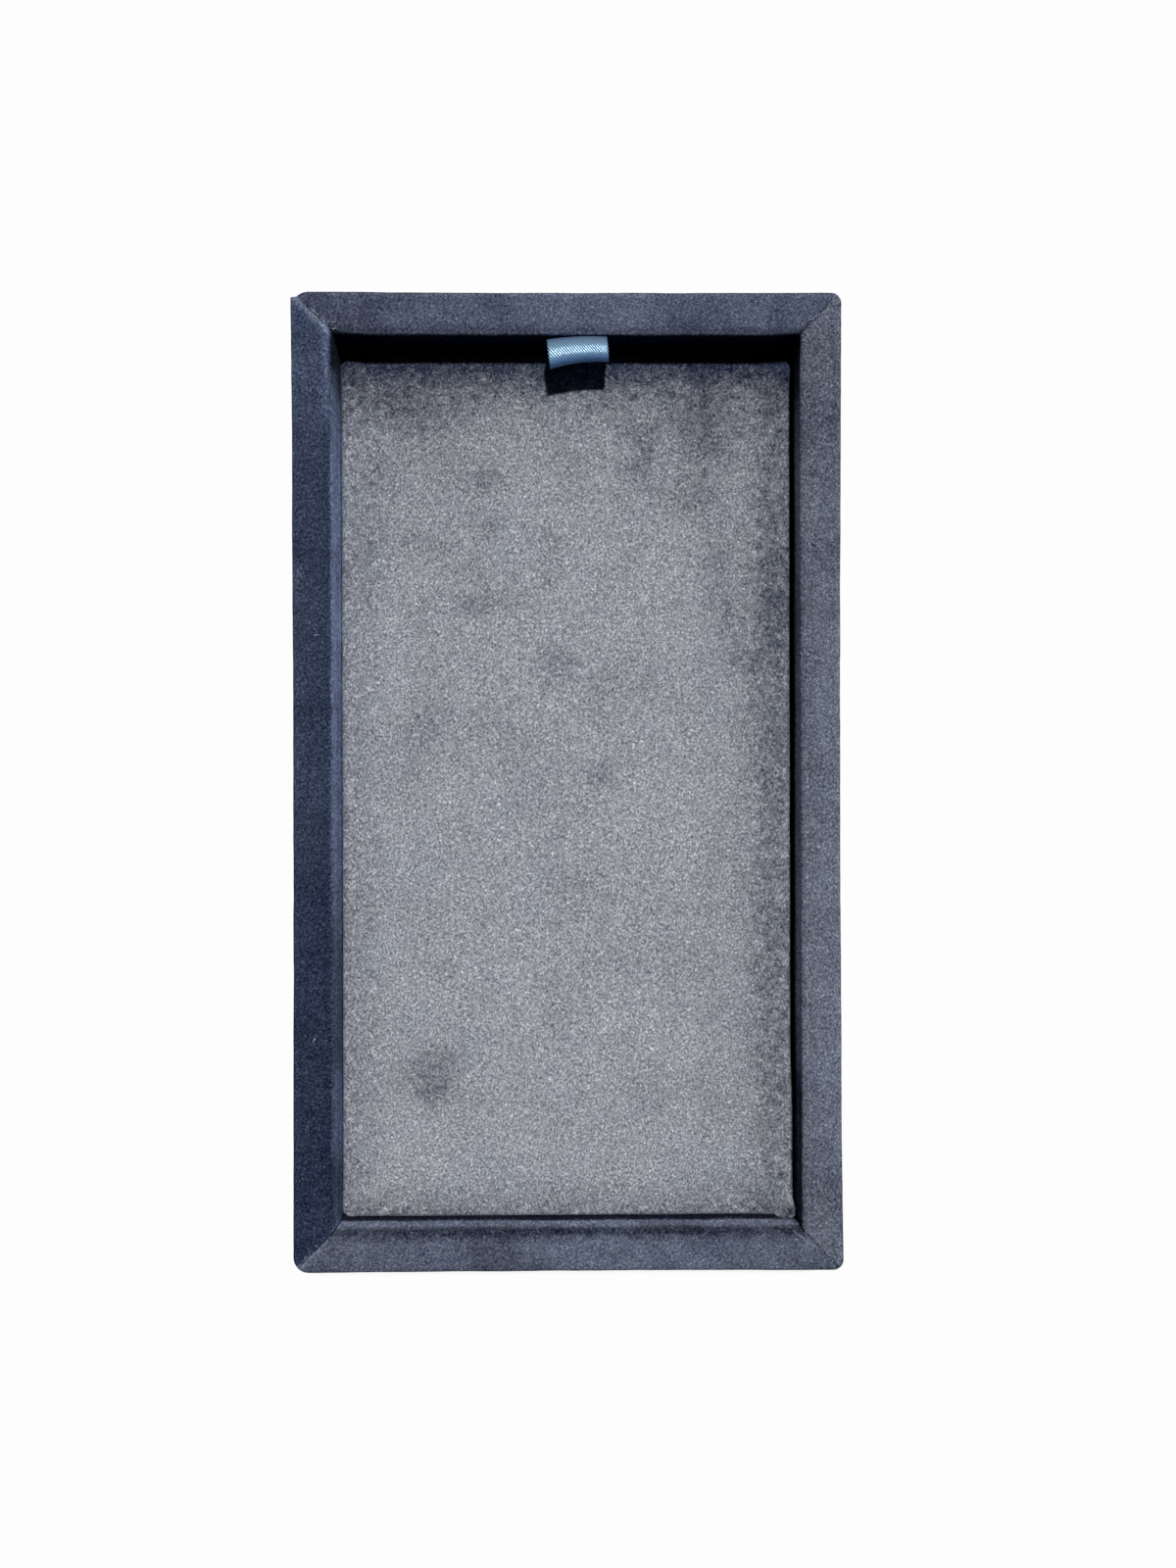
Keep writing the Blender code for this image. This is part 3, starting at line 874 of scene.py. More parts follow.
def swell(bm):
    """Run the closed cover as cloth under pressure, and move its points up to the cap."""
    mesh = bpy.data.meshes.new("swelling")
    bm.to_mesh(mesh)
    mesh.transform(Matrix.Scale(swell_scale, 4))
    balloon = bpy.data.objects.new("swelling", mesh)
    bpy.context.scene.collection.objects.link(balloon)
    held = balloon.vertex_groups.new(name="held")
    held.add([vert.index for vert in bm.verts if vert.co.z < held_height], 1.0, "REPLACE")
    cloth = balloon.modifiers.new("cloth", "CLOTH")
    cloth.settings.quality = swell_quality
    cloth.settings.use_pressure = True
    cloth.settings.uniform_pressure_force = swell_pressure
    cloth.settings.vertex_group_mass = "held"
    cloth.settings.effector_weights.gravity = 0
    scene = bpy.context.scene
    for number in range(1, swell_frames + 1):
        scene.frame_set(number)
    swollen = balloon.evaluated_get(bpy.context.evaluated_depsgraph_get()).data
    furthest = 0.0
    for vert, moved in zip(bm.verts, swollen.vertices):
        step = moved.co / swell_scale - vert.co
        outwards = vert.co - cover_middle
        for axis in (0, 1):
            if step[axis] * outwards[axis] < 0:
                step[axis] = 0
        furthest = max(furthest, step.length)
        if step.length > swell_cap:
            step = step.normalized() * swell_cap
        vert.co += step
        for (axis, side), room in side_room.items():
            edge = cover_high[axis] + room if side > 0 else cover_low[axis] - room
            if (vert.co[axis] - edge) * side > 0:
                vert.co[axis] = edge
    scene.frame_set(1)
    bpy.data.objects.remove(balloon)
    bpy.data.meshes.remove(mesh)
    return furthest


print("The swelling runs for", swell_frames, "frames")

# %% Crown and swelling
pad_bm.verts.index_update()
for vert in pad_bm.verts:
    if vert.co.z > edge_top - pad_edge_radius:
        share = (vert.co.z - (edge_top - pad_edge_radius)) / pad_edge_radius
        vert.co.z += crown_height(vert.co.x, vert.co.y) * min(share, 1)
print("The cover would move", round(swell(pad_bm) * 1000, 2), "mm, capped at", swell_cap * 1000)

# %% Corners, edges and pile of the cover
fold_length = 0.0035
fold_width = 0.0005
fold_depth = 0.0003
corner_push = {(1, -1): 0.0006, (-1, -1): 0.0001, (1, 1): 0.0002, (-1, 1): 0.0001}
corner_draw = {(1, -1): 0.0, (-1, -1): 0.0, (1, 1): 0.0008, (-1, 1): 0.0008}
pile_wave = 0.00006
left_bulge = 0.00025
bottom_bulge = 0.00022
right_bulge = 0.0004
right_bulge_starts = -0.045
right_bulge_full = -0.055
bulge_reach = 0.002
wall_room = 0.00005

bmesh.ops.recalc_face_normals(pad_bm, faces=pad_bm.faces)
pad_bm.normal_update()
for vert in pad_bm.verts:
    if vert.co.z < held_height:
        continue
    place = vert.co.copy()
    wave = pile_wave * noise.noise(place / wave_length)
    lift = wave + ripple_height * noise.noise(place / ripple_length)
    for (side_x, side_y), push in corner_push.items():
        corner_x = cover_middle.x + side_x * cover_half_x
        corner_y = cover_middle.y + side_y * cover_half_y
        away = Vector((corner_x, corner_y, place.z)) - place
        run = (side_x * away.x + side_y * away.y) / math.sqrt(2)
        aside = (side_x * away.x - side_y * away.y) / math.sqrt(2)
        if run < 3 * fold_length:
            fade = math.exp(-(run / fold_length) ** 2)
            lift -= fold_depth * fade * math.exp(-(aside / fold_width) ** 2)
            vert.co.x += side_x * push * fade * math.exp(-(aside / fold_length) ** 2)
            drawn_in = push / 2 - corner_draw[side_x, side_y]
            vert.co.y += side_y * drawn_in * fade * math.exp(-(aside / fold_length) ** 2)
    vert.co += vert.normal * lift
    from_right = max(cover_high.x - place.x, 0) / bulge_reach
    from_left = max(place.x - cover_low.x, 0) / bulge_reach
    from_bottom = max(place.y - cover_low.y, 0) / bulge_reach
    low_end = min(max((right_bulge_starts - place.y) / (right_bulge_starts - right_bulge_full), 0), 1)
    vert.co.x += right_bulge * low_end * math.exp(-from_right ** 2)
    vert.co.x -= left_bulge * math.exp(-from_left ** 2)
    vert.co.y -= bottom_bulge * math.exp(-from_bottom ** 2)
    for axis, half in ((0, half_width), (1, half_length)):
        furthest = half - wall - wall_room
        vert.co[axis] = min(max(vert.co[axis], -furthest), furthest)
print("Cover corners drawn:", len(corner_push))

# %% Open the underside of the cover
open_x = cover_half_x - pad_turn_in
open_y = cover_half_y - pad_turn_in
for side in (-1, 1):
    cut_across(pad_bm, (cover_middle.x + side * open_x, 0, 0), (1, 0, 0))
for side in (-1, 1):
    cut_across(pad_bm, (0, cover_middle.y + side * open_y, 0), (0, 1, 0))
opening = []
for face in pad_bm.faces:
    centre = face.calc_center_median()
    inside = abs(centre.x - cover_middle.x) < open_x and abs(centre.y - cover_middle.y) < open_y
    if inside and face.normal.z < 0 and centre.z < held_height:
        opening.append(face)
bmesh.ops.delete(pad_bm, geom=opening, context="FACES")
cover = show("insert_cover", pad_bm, pad_velvet)
thicken(cover, cover_thickness)
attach(cover, "insert")
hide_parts("insert_velvet")
print("Insert cover has", len(cover.data.polygons), "faces")

# %% [markdown]
# ### Lie of the nap
#
# A hand that passed over the velvet, or a box that pressed on it, leaves the pile lying another way
# in soft dark clouds. The photograph shows about a dozen, and a long dark band where the right edge
# They aren't a regular pattern, so a texture alone would not place them. Spots are listed, each with
# its middle and reach in millimetres and how much darker it is. Their outline is broken up with noise,
# and the sum is kept in an attribute that the velvet adds to its nap.
# Painted shade also darkens the pad along its left, bottom and top edges, where it meets the rails, and
# most along the top edge beside the top rail.

# %% Spots of the pad's nap, and painted shade at its edges
pad_spots = [
    (-22.3, -48.7, 4.2, 4.6, -0.26), (-22.8, -52.0, 2.4, 2.2, -0.30), (-25.5, -47.0, 2.2, 3.0, -0.12),
    (-23.9, 9.3, 4.0, 4.6, -0.24), (-27.0, 2.0, 2.4, 3.2, -0.16), (-10.5, 5.2, 4.5, 4.0, -0.10),
    (-13.6, 50.4, 2.4, 1.3, -0.28), (-13.1, 41.2, 1.3, 1.2, -0.30), (-15.1, 29.8, 4.2, 1.7, -0.26),
    (-25.0, 40.0, 5.5, 3.0, -0.14), (-31.5, 50.0, 3.0, 6.0, -0.16), (-33.0, 38.0, 3.0, 8.0, -0.12),
    (-2.7, 19.3, 3.0, 2.6, -0.24), (10.1, 17.5, 4.5, 3.5, -0.14), (4.3, 13.4, 1.0, 4.5, -0.16),
    (5.4, 1.1, 3.0, 2.4, -0.20), (1.9, -18.5, 4.5, 5.5, -0.12), (-2.6, -36.0, 0.8, 20.0, -0.08),
    (0.7, 53.5, 1.5, 3.4, -0.18), (12.1, 55.5, 2.6, 5.4, -0.30), (22.4, 58.5, 5.5, 8.5, -0.36),
    (19.3, 47.2, 5.0, 3.2, -0.26), (25.4, 37.1, 2.8, 5.0, -0.22), (26.5, 27.9, 2.4, 4.0, -0.20),
    (28.5, 20.6, 3.0, 3.0, -0.20), (-29.5, 64.0, 4.5, 4.0, -0.34), (-23.0, 61.0, 6.0, 4.0, -0.26),
    (17.0, -28.0, 5.0, 12.0, -0.06), (8.0, -45.0, 16.0, 10.0, 0.02), (-10.0, -60.0, 14.0, 8.0, 0.04),
    (-22.0, 52.0, 7.5, 5.0, -0.10), (-15.0, 48.5, 4.5, 3.5, -0.09), (-19.5, 35.0, 3.5, 3.5, -0.07),
    (-25.0, 28.0, 3.0, 3.0, -0.10), (-3.4, 38.0, 1.6, 5.5, -0.10), (-23.0, 21.0, 5.0, 4.0, -0.05),
    (-9.0, -30.0, 6.0, 14.0, 0.05), (-30.3, -24.4, 3.0, 4.0, 0.06), (12.9, -53.0, 5.0, 5.0, -0.07),
    (30.0, 67.0, 5.0, 3.5, 0.27), (-33.0, 68.0, 5.0, 2.8, 0.28), (-17.7, -45.1, 2.6, 2.6, -0.10),
]
spot_strength = 1.3
spot_break = 1.7
spot_break_length = 0.003
ring_middle = (-8.5, 37.1)
ring_radius = 7.2
ring_width = 0.9
ring_shade = -0.5
ring_breaks = 1.2
ring_drawn = 0.2
# Painted shade, darkest at the top edge beside the top rail.
painted_top_shade = [
    (30.0, 0.0), (50.0, -0.06), (56.0, -0.12), (61.0, -0.26), (63.0, -0.38), (65.0, -0.56),
    (67.0, -0.74), (68.4, -0.855), (69.9, -0.94),
]
right_band = [(27.0, 0.0), (29.8, -0.10), (31.5, -0.26), (33.2, -0.42), (36.0, -0.46), (37.6, -0.40)]
right_band_along = [
    (-73, 0.62), (-64, 0.66), (-56, 0.72), (-48, 0.85), (-40, 0.84), (-30, 0.86), (-20, 0.84),
    (-10, 0.76), (0, 0.9), (10, 0.88), (16, 0.86), (22, 1.05), (29, 1.28), (36, 1.27), (42, 1.12),
    (50, 1.0), (60, 0.95), (70, 0.8),
]
right_crease = [(21.2, 0.0), (22.0, -0.08), (26.5, -0.08), (40.0, -0.07)]
# Painted shade along the left and bottom edges, where the pad rolls down beside the rails.
painted_left_shade = [(-37.8, -0.3), (-36.4, -0.2), (-35.0, -0.12), (-32.0, -0.03), (-29.0, 0.0)]
painted_bottom_shade = [
    (-73.0, -0.30), (-72.3, -0.30), (-71.5, -0.34), (-70.6, -0.16), (-69.6, -0.05), (-68.4, 0.0),
]
print("Nap spots on the pad:", len(pad_spots))


# %% Nap of the pad, and painted shade at its edges
def wandered(place):
    """A place in millimetres, pushed about so that what is drawn there gets a broken outline."""
    bent = place / spot_break_length
    push = Vector((noise.noise(bent), noise.noise(bent + Vector((5, 2, 9))), 0))
    finer = bent * 3
    push += Vector((noise.noise(finer), noise.noise(finer + Vector((5, 2, 9))), 0)) / 2
    return place * 1000 + push * spot_break


def pad_nap_and_painted_shade(place):
    """The nap of the pad: its spots, a broken ring, the band and crease on the right, and painted shade
    along the left, bottom and top edges.
    """
    spot = wandered(place)
    shade = 0.0
    for x, y, reach_x, reach_y, amount in pad_spots:
        apart = ((spot.x - x) / reach_x) ** 2 + ((spot.y - y) / reach_y) ** 2
        shade += spot_strength * amount * math.exp(-apart)
    from_ring = Vector((spot.x - ring_middle[0], spot.y - ring_middle[1]))
    turn = from_ring.angle_signed(Vector((1, 0)), 0)
    drawn = max(noise.noise(Vector((turn * ring_breaks, 4, 0))) + ring_drawn, 0)
    shade += ring_shade * drawn * math.exp(-((from_ring.length - ring_radius) / ring_width) ** 2)
    shade += ease_between(right_band, spot.x) * ease_between(right_band_along, spot.y)
    shade += ease_between(right_crease, spot.x)
    lit = (1 + shade) * (1 + ease_between(painted_left_shade, spot.x))
    lit *= 1 + ease_between(painted_bottom_shade, place.y * 1000)
    return lit * (1 + ease_between(painted_top_shade, spot.y)) - 1


keep_nap_and_painted_light(cover, pad_nap_and_painted_shade)
print("Nap kept on", len(cover.data.vertices), "points of the cover")

# %% [markdown]
# ### Bunched corner
#
# At one corner the cover has cloth to spare. It stands up between the pad and the rails as a small ear,
# pale where it meets the pad, with painted shade that darkens it up to its crest in the corner. It is a
# sheet that four rows of points shape, given in millimetres from the pad over the crest and down its
# far side, and a few passes of smoothing ease it. It belongs to the insert, so it lifts with the pad
# and stays clear of both rails.

# %% Ear of spare cloth
ear_rows = [
    [(34.2, -72.7, 13.2), (35.4, -71.5, 13.6), (36.4, -70.6, 13.6), (37.5, -69.8, 13.0)],
    [(34.9, -73.0, 14.6), (36.2, -72.1, 16.2), (36.9, -71.4, 16.2), (37.8, -70.6, 14.4)],
    [(36.0, -73.08, 16.4), (37.1, -72.9, 18.4), (37.6, -72.4, 18.4), (38.0, -71.6, 16.2)],
    [(36.4, -73.08, 12.6), (37.6, -73.08, 12.8), (38.0, -72.8, 12.8), (38.05, -71.9, 12.4)],
]
# Painted shade on the ear: darker with height, up to its crest in the corner between the rails.
painted_ear_shade = [(14.6, 0.0), (15.1, -0.2), (15.7, -0.5), (16.4, -0.75), (19.0, -0.8)]
ear_passes = 5
ear_thickness = 0.0001

ear_bm = bmesh.new()
bmesh.ops.create_grid(ear_bm, x_segments=3, y_segments=3, size=1)
in_rows = sorted(ear_bm.verts, key=lambda vert: (round(vert.co.y, 3), vert.co.x))
for vert, point in zip(in_rows, sum(ear_rows, [])):
    vert.co = Vector(point) / 1000
bmesh.ops.subdivide_edges(ear_bm, edges=ear_bm.edges[:], cuts=3, use_grid_fill=True)
inner_ear = [vert for vert in ear_bm.verts if not vert.is_boundary]
for number in range(ear_passes):
    bmesh.ops.smooth_vert(
        ear_bm, verts=inner_ear, factor=0.5, use_axis_x=True, use_axis_y=True, use_axis_z=True
    )
face_up(ear_bm)
ear_area = sum(face.calc_area() for face in ear_bm.faces)
ear = show("cover_ear", ear_bm, pad_velvet)
keep_nap_and_painted_light(ear, lambda place: ease_between(painted_ear_shade, place.z * 1000))
thicken(ear, ear_thickness)
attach(ear, "insert")
print("Ear of cloth:", round(ear_area * 1e6, 1), "square mm")

# %% [markdown]
# ## Pull ribbon
#
# A satin ribbon is woven so that its warp threads float over the surface, which is what makes it
# shine, and fine twill lines cross it on the slant. Both its ends are glued under the insert, it
# comes up between the insert and the rail, and stands as an open loop that leans off the rail.
#
# The ribbon is one strip, so it is modelled as one: its route is a formula, and an edge is extruded
# along it step by step. The route lies in the ribbon's own place, as the imported model has it.

# %% Ribbon route
tail_low, tail_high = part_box("ribbon_tail")
loop_low, loop_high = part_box("ribbon_loop")
ribbon_width = loop_high.x - loop_low.x
ribbon_x = (loop_low.x + loop_high.x) / 2
ribbon_thickness = 0.00024
ply_offset = 0.00015
fold_y = tail_high.y - 0.0003
fold_z = loop_low.z
tail_rise = 0.0003
tail_level = tail_low.z + tail_rise
tail_bend = 0.0008
loop_top = loop_high.z - 0.00015
loop_half_depth = 0.0019
loop_lean = 0.0028
loop_fullness = 3
loop_steps = 90
tail_steps = 12
bend_steps = 6


def loop_points():
    """The loop from its outer ply, over the top and back down to its inner ply."""
    widest = math.acos(-loop_fullness / (2 + loop_fullness))
    bulge = loop_half_depth / (math.sin(widest) * math.sin(widest / 2) ** loop_fullness)
    points = []
    for step in range(loop_steps + 1):
        turn = 2 * math.pi * step / loop_steps
        rise = (1 - math.cos(turn)) / 2
        swelling = bulge * math.sin(turn) * math.sin(turn / 2) ** loop_fullness
        y = fold_y + ply_offset * math.cos(turn / 2) + swelling - loop_lean * rise
        points.append((y, fold_z + (loop_top - fold_z) * rise))
    return points


def tail_points(side):
    """One ply of the tail, from its glued end to the fold; side is 1 for the outer ply."""
    level = tail_level - side * ply_offset
    radius = tail_bend + side * ply_offset
    centre_y = fold_y - tail_bend
    centre_z = tail_level + tail_bend
    run = centre_y - tail_low.y
    points = [(tail_low.y + run * step / tail_steps, level) for step in range(tail_steps)]
    for step in range(bend_steps + 1):
        angle = math.pi / 2 * step / bend_steps
        points.append((centre_y + radius * math.sin(angle), centre_z - radius * math.cos(angle)))
    for step in range(1, tail_steps):
        points.append((fold_y + side * ply_offset, centre_z + (fold_z - centre_z) * step / tail_steps))
    return points


route = tail_points(1) + loop_points() + tail_points(-1)[::-1]
ribbon_length = sum(math.dist(a, b) for a, b in zip(route, route[1:]))
print("Ribbon", round(ribbon_length * 1000, 1), "mm long,", round(ribbon_width * 1000, 1), "mm wide")

# %% How the loop stands
ribbon_columns = 32
loop_bow = 0.001
holds_by = 1.6
back_bow = 0.11
swing_back, swing_front = 0.235, 0.595
sag_back, sag_front = 0.265, 0.435
left_flare = 0.52
right_tuck = 0.3
right_curl = 0.25


def askew(vert):
    """Bend the straight loop as the real one stands: bowed, with its -X end flared forwards."""
    rise = max(vert.co.z - fold_z, 0) / (loop_top - fold_z)
    held = min(rise * holds_by, 1)
    side = (vert.co.x - ribbon_x) / (ribbon_width / 2)
    middle_y = fold_y - loop_lean * rise
    front = min(max((middle_y - vert.co.y) / loop_half_depth, -1), 1) / 2 + 0.5
    back = 1 - front
    swing = swing_back * back + swing_front * front
    sag = sag_back * back + sag_front * front
    bow = back_bow * back + swing * side - sag * side ** 2
    left, right = (1 - side) / 2, (1 + side) / 2
    across = left * left_flare * front - right * (right_tuck * back - right_curl * front * back)
    vert.co.y += held * bow * loop_bow
    vert.co.x += held * across * loop_bow


print("The loop bends by up to", loop_bow * 1000, "mm")

# %% Draw the ribbon along its route
ribbon_bm = bmesh.new()
first = [
    ribbon_bm.verts.new((ribbon_x + ribbon_width * (column / ribbon_columns - 0.5), *route[0]))
    for column in range(ribbon_columns + 1)
]
row = [ribbon_bm.edges.new(pair) for pair in zip(first, first[1:])]
uv_layer = ribbon_bm.loops.layers.uv.new("weave")
travelled = 0.0
for here, there in zip(route, route[1:]):
    drawn = bmesh.ops.extrude_edge_only(ribbon_bm, edges=row)["geom"]
    row = [item for item in drawn if isinstance(item, bmesh.types.BMEdge)]
    faces = [item for item in drawn if isinstance(item, bmesh.types.BMFace)]
    for vert in [item for item in drawn if isinstance(item, bmesh.types.BMVert)]:
        vert.co.y, vert.co.z = there
    step_length = math.dist(here, there)
    new_verts = {vert for edge in row for vert in edge.verts}
    for face in faces:
        for corner in face.loops:
            along = travelled + (step_length if corner.vert in new_verts else 0.0)
            across = corner.vert.co.x - ribbon_x
            corner[uv_layer].uv = (across / ribbon_width + 0.5, along / ribbon_width)
    travelled += step_length
for vert in ribbon_bm.verts:
    askew(vert)
bmesh.ops.recalc_face_normals(ribbon_bm, faces=ribbon_bm.faces)
print("Ribbon strip has", len(ribbon_bm.faces), "faces")

# %% [markdown]
# ### Satin
#
# The twill lines follow the cloth round the loop, so they are drawn on the ribbon's own UV map, which
# counts ribbon widths across and along. A sine along a slanted direction gives even lines; its height
# goes to a bump, and its crests are paler. The shine comes from those crests, which are smoother and
# more metallic than the grooves between them. Past the top of the loop, where the cloth turns down to
# the pad and away from the key light, painted shade gives the satin a deeper blue.

# %% Satin group
satin_group, given, made = new_group(
    "satin_twill",
    [
        ("Weave", "NodeSocketVector", None),
        ("Thread", "NodeSocketColor", paint(136, 170, 192)),
        ("Groove", "NodeSocketColor", paint(4, 34, 86)),
        ("Lines", "NodeSocketFloat", 23.0),
        ("Lean", "NodeSocketFloat", -0.8),
        ("Depth", "NodeSocketFloat", 0.00002),
        ("Top", "NodeSocketFloat", 4.3),
        # The front colour is painted shade: a deeper blue multiplied in past the top of the loop, where
        # the cloth turns from the key light.
        ("Painted Front Shade", "NodeSocketColor", (0.46, 0.70, 1.02, 1.0)),
    ],
    [
        ("Color", "NodeSocketColor"), ("Normal", "NodeSocketVector"), ("Roughness", "NodeSocketFloat"),
        ("Gloss", "NodeSocketFloat"),
    ],
)
print("Satin sockets:", len(given) - 1)

# %% Twill of the satin
picks_per_width = 150
pick_height = 0.13
pick_patches = 60.0
twill_waves = 9.0
twill_wander = 0.015
crest_height = 0.95
painted_front_starts = 0.04
painted_front_fade = 0.1
groove_roughness = 0.78
crest_polish = 0.44
groove_gloss = 0.12
crest_gloss = 0.6
plus, minus, times = sums_in(satin_group, "ADD", "SUBTRACT", "MULTIPLY")

parts = add(satin_group, "ShaderNodeSeparateXYZ", {0: given["Weave"]}).outputs
slant = plus(parts["X"], times(parts["Y"], given["Lean"]))
wander = noise_at(satin_group, given["Weave"], twill_waves, detail=2.0)
slant = plus(slant, times(wander, twill_wander))
phase = times(times(slant, given["Lines"]), 2 * math.pi)
crest = times(calc(satin_group, "SINE", phase), crest_height)
crest = plus(crest, 0.5, clamp=True)
picks = calc(satin_group, "SINE", times(parts["Y"], 2 * math.pi * picks_per_width))
uneven = noise_at(satin_group, given["Weave"], pick_patches, detail=0.0)
woven = plus(crest, times(picks, times(uneven, 2 * pick_height)))
twill = mix(satin_group, crest, given["Groove"], given["Thread"])
# Painted shade: past the top of the loop the colour is multiplied by the deeper front blue.
past_top = minus(minus(parts["Y"], given["Top"]), painted_front_starts)
painted_front_shade = times(past_top, 1 / painted_front_fade, clamp=True)
feed_all(satin_group, made, {
    "Color": mix(satin_group, painted_front_shade, twill, given["Painted Front Shade"], blend="MULTIPLY"),
    "Normal": bumps(satin_group, woven, given["Depth"], 1.0),
    "Roughness": minus(groove_roughness, times(crest, crest_polish)),
    "Gloss": plus(times(crest, crest_gloss), groove_gloss),
})
print("Satin group with", len(satin_group.nodes), "nodes")

# %% Satin, and the ribbon placed
satin, tree, place = new_material("blue_satin")
weave = add(tree, "ShaderNodeUVMap", {}, uv_map="weave").outputs[0]
cloth = use_group(tree, satin_group, {"Weave": weave, "Top": ribbon_length / ribbon_width / 2})
coat(satin, {
    "Base Color": cloth["Color"],
    "Normal": cloth["Normal"],
    "Roughness": cloth["Roughness"],
    "Metallic": cloth["Gloss"],
    "Specular IOR Level": 0.5,
    "Sheen Weight": 0.05,
    "Sheen Roughness": 0.3,
    "Sheen Tint": paint(200, 222, 240),
})

ribbon = show("pull_ribbon", ribbon_bm, satin)
thicken(ribbon, ribbon_thickness, offset=0)
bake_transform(ribbon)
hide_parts("ribbon_tail", "ribbon_loop")
print("Ribbon placed")

# %% [markdown]
# ## Foam and bottom sheet
#
# Two soft sheets are hidden until the tray is taken apart: the foam under the cover, and the thin
# sheet glued under the tray that hides the turned-in velvet. Both are flat goods with a cut edge,
# so a block with rounded upright edges is the right start. The foam follows the crown of the pad.

# %% Foam pad
foam_low, foam_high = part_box("insert_foam")
foam_edge = foam_high.z - 0.0007


def sheet_block(low, high, corner_radius, edge_radius, step):
    """A thin block with rounded corners and eased edges, cut into small faces."""
    bm = block(low, high)
    bevel_edges(bm, lambda a, b: abs(a.z - b.z) > tiny, corner_radius, 4)
    bevel_edges(bm, lambda a, b: min(a.z, b.z) > high.z - tiny, edge_radius, 3)
    cut_rows(bm, low, high, step)
    return bm


foam_bm = sheet_block(foam_low, Vector((foam_high.x, foam_high.y, foam_edge)), 0.0006, 0.0005, 0.003)
for vert in foam_bm.verts:
    if vert.co.z > foam_edge - tiny:
        vert.co.z += crown_height(vert.co.x, vert.co.y)

foam_material, tree, place = new_material("pad_foam")
cells = add(
    tree, "ShaderNodeTexVoronoi", {"Vector": place, "Scale": 2600.0}, feature="DISTANCE_TO_EDGE"
).outputs["Distance"]
walls = calc(tree, "MULTIPLY", cells, 4.0, clamp=True)
coat(foam_material, {
    "Base Color": mix(tree, walls, paint(232, 228, 216), paint(176, 172, 160)),
    "Normal": bumps(tree, walls, 0.0001, 0.6, invert=True),
    "Roughness": 0.95,
})
foam = show("insert_foam_sheet", foam_bm, foam_material)
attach(foam, "insert")
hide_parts("insert_foam")
print("Foam sheet has", len(foam.data.polygons), "faces")

# %% Bottom sheet
sheet_low, sheet_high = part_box("bottom_cover")
bottom_bm = sheet_block(sheet_low, sheet_high, 0.001, 0.0002, 0.004)
bottom_velvet = velvet(
    "bottom_velvet",
    {"Fibre Contrast": 0.4, "Line Stretch": along_y, "Pile Depth": 0.00004},
    0.16, rail_sheen,
)
bottom_sheet = show("bottom_sheet", bottom_bm, bottom_velvet)
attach(bottom_sheet, "tray")
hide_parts("bottom_cover")
print("Bottom sheet has", len(bottom_sheet.data.polygons), "faces")

# %% [markdown]
# ## Boards, card and pins
#
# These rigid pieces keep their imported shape, and need only a finish. Fibreboard is pressed wood
# dust: warm brown, with short darker fibres lying every way and a harder, darker skin. Card is
# grey with fine lint in it. The pins are cut from galvanised wire, with drawing marks along them.

# %% Board, card and steel materials
board_group, given, made = new_group(
    "pressed_fibre",
    [
        ("Vector", "NodeSocketVector", None),
        ("Ground", "NodeSocketColor", paint(164, 130, 94)),
        ("Fibre", "NodeSocketColor", paint(112, 82, 54)),
        ("Fleck Size", "NodeSocketFloat", 0.0006),
        ("Fleck Amount", "NodeSocketFloat", 0.6),
        ("Depth", "NodeSocketFloat", 0.00005),
    ],
    [("Color", "NodeSocketColor"), ("Normal", "NodeSocketVector")],
)
minus, times = sums_in(board_group, "SUBTRACT", "MULTIPLY")
fleck_scale = calc(board_group, "DIVIDE", 1.0, given["Fleck Size"])
flecks = noise_at(
    board_group, given["Vector"], fleck_scale, detail=3.0, roughness=0.65, distortion=2.0
)
flecks = times(minus(flecks, 0.42), 4.0, clamp=True)
fleck_share = times(flecks, given["Fleck Amount"])
feed_all(board_group, made, {
    "Color": mix(board_group, fleck_share, given["Ground"], given["Fibre"]),
    "Normal": bumps(board_group, flecks, given["Depth"], 0.4),
})


def pressed(name, inputs, roughness):
    """A board or card of pressed fibre."""
    material, tree, place = new_material(name)
    fibre = use_group(tree, board_group, {"Vector": place, **inputs})
    coat(material, {"Base Color": fibre["Color"], "Normal": fibre["Normal"], "Roughness": roughness})
    return material


mdf = pressed("mdf_board", {}, 0.8)
card_look = {
    "Ground": paint(92, 95, 102), "Fibre": paint(60, 62, 70),
    "Fleck Size": 0.0009, "Fleck Amount": 0.35,
}
card = pressed("grey_card", card_look, 0.9)
steel, tree, place = new_material("brad_steel")
drawing_marks = noise_at(tree, place, 9000.0, detail=2.0)
coat(steel, {
    "Base Color": mix(tree, drawing_marks, paint(150, 152, 154), paint(196, 197, 196)),
    "Roughness": calc(tree, "ADD", calc(tree, "MULTIPLY", drawing_marks, 0.25), 0.25),
    "Metallic": 1.0,
})
print("Fibre group with", len(board_group.nodes), "nodes")

# %% Finish the boards, cards and pins
finishes = {"mdf_board": mdf, "grey_card": card, "brad_steel": steel}
dressed = 0
for row in frame["record"]["subparts"]:
    piece = frame["nodes"][row["node"]]
    finish = finishes.get(row["material_slot"])
    if finish and not piece.hide_render:
        piece.data.materials.clear()
        piece.data.materials.append(finish)
        dressed += 1
print("Boards, cards and pins with a finish:", dressed)

# %% [markdown]
# ## Frayed seams and lint
#
# Where the strips meet, cut threads of the velvet's backing stand up: pale, thin and crooked. A few
# bright specks of lint lie on the pile. They are small, but they are what tells velvet from a
# printed picture of it. Each thread is a short crooked line with a round section, so a curve with
# a bevel makes it, and the curve is made a mesh at the end.

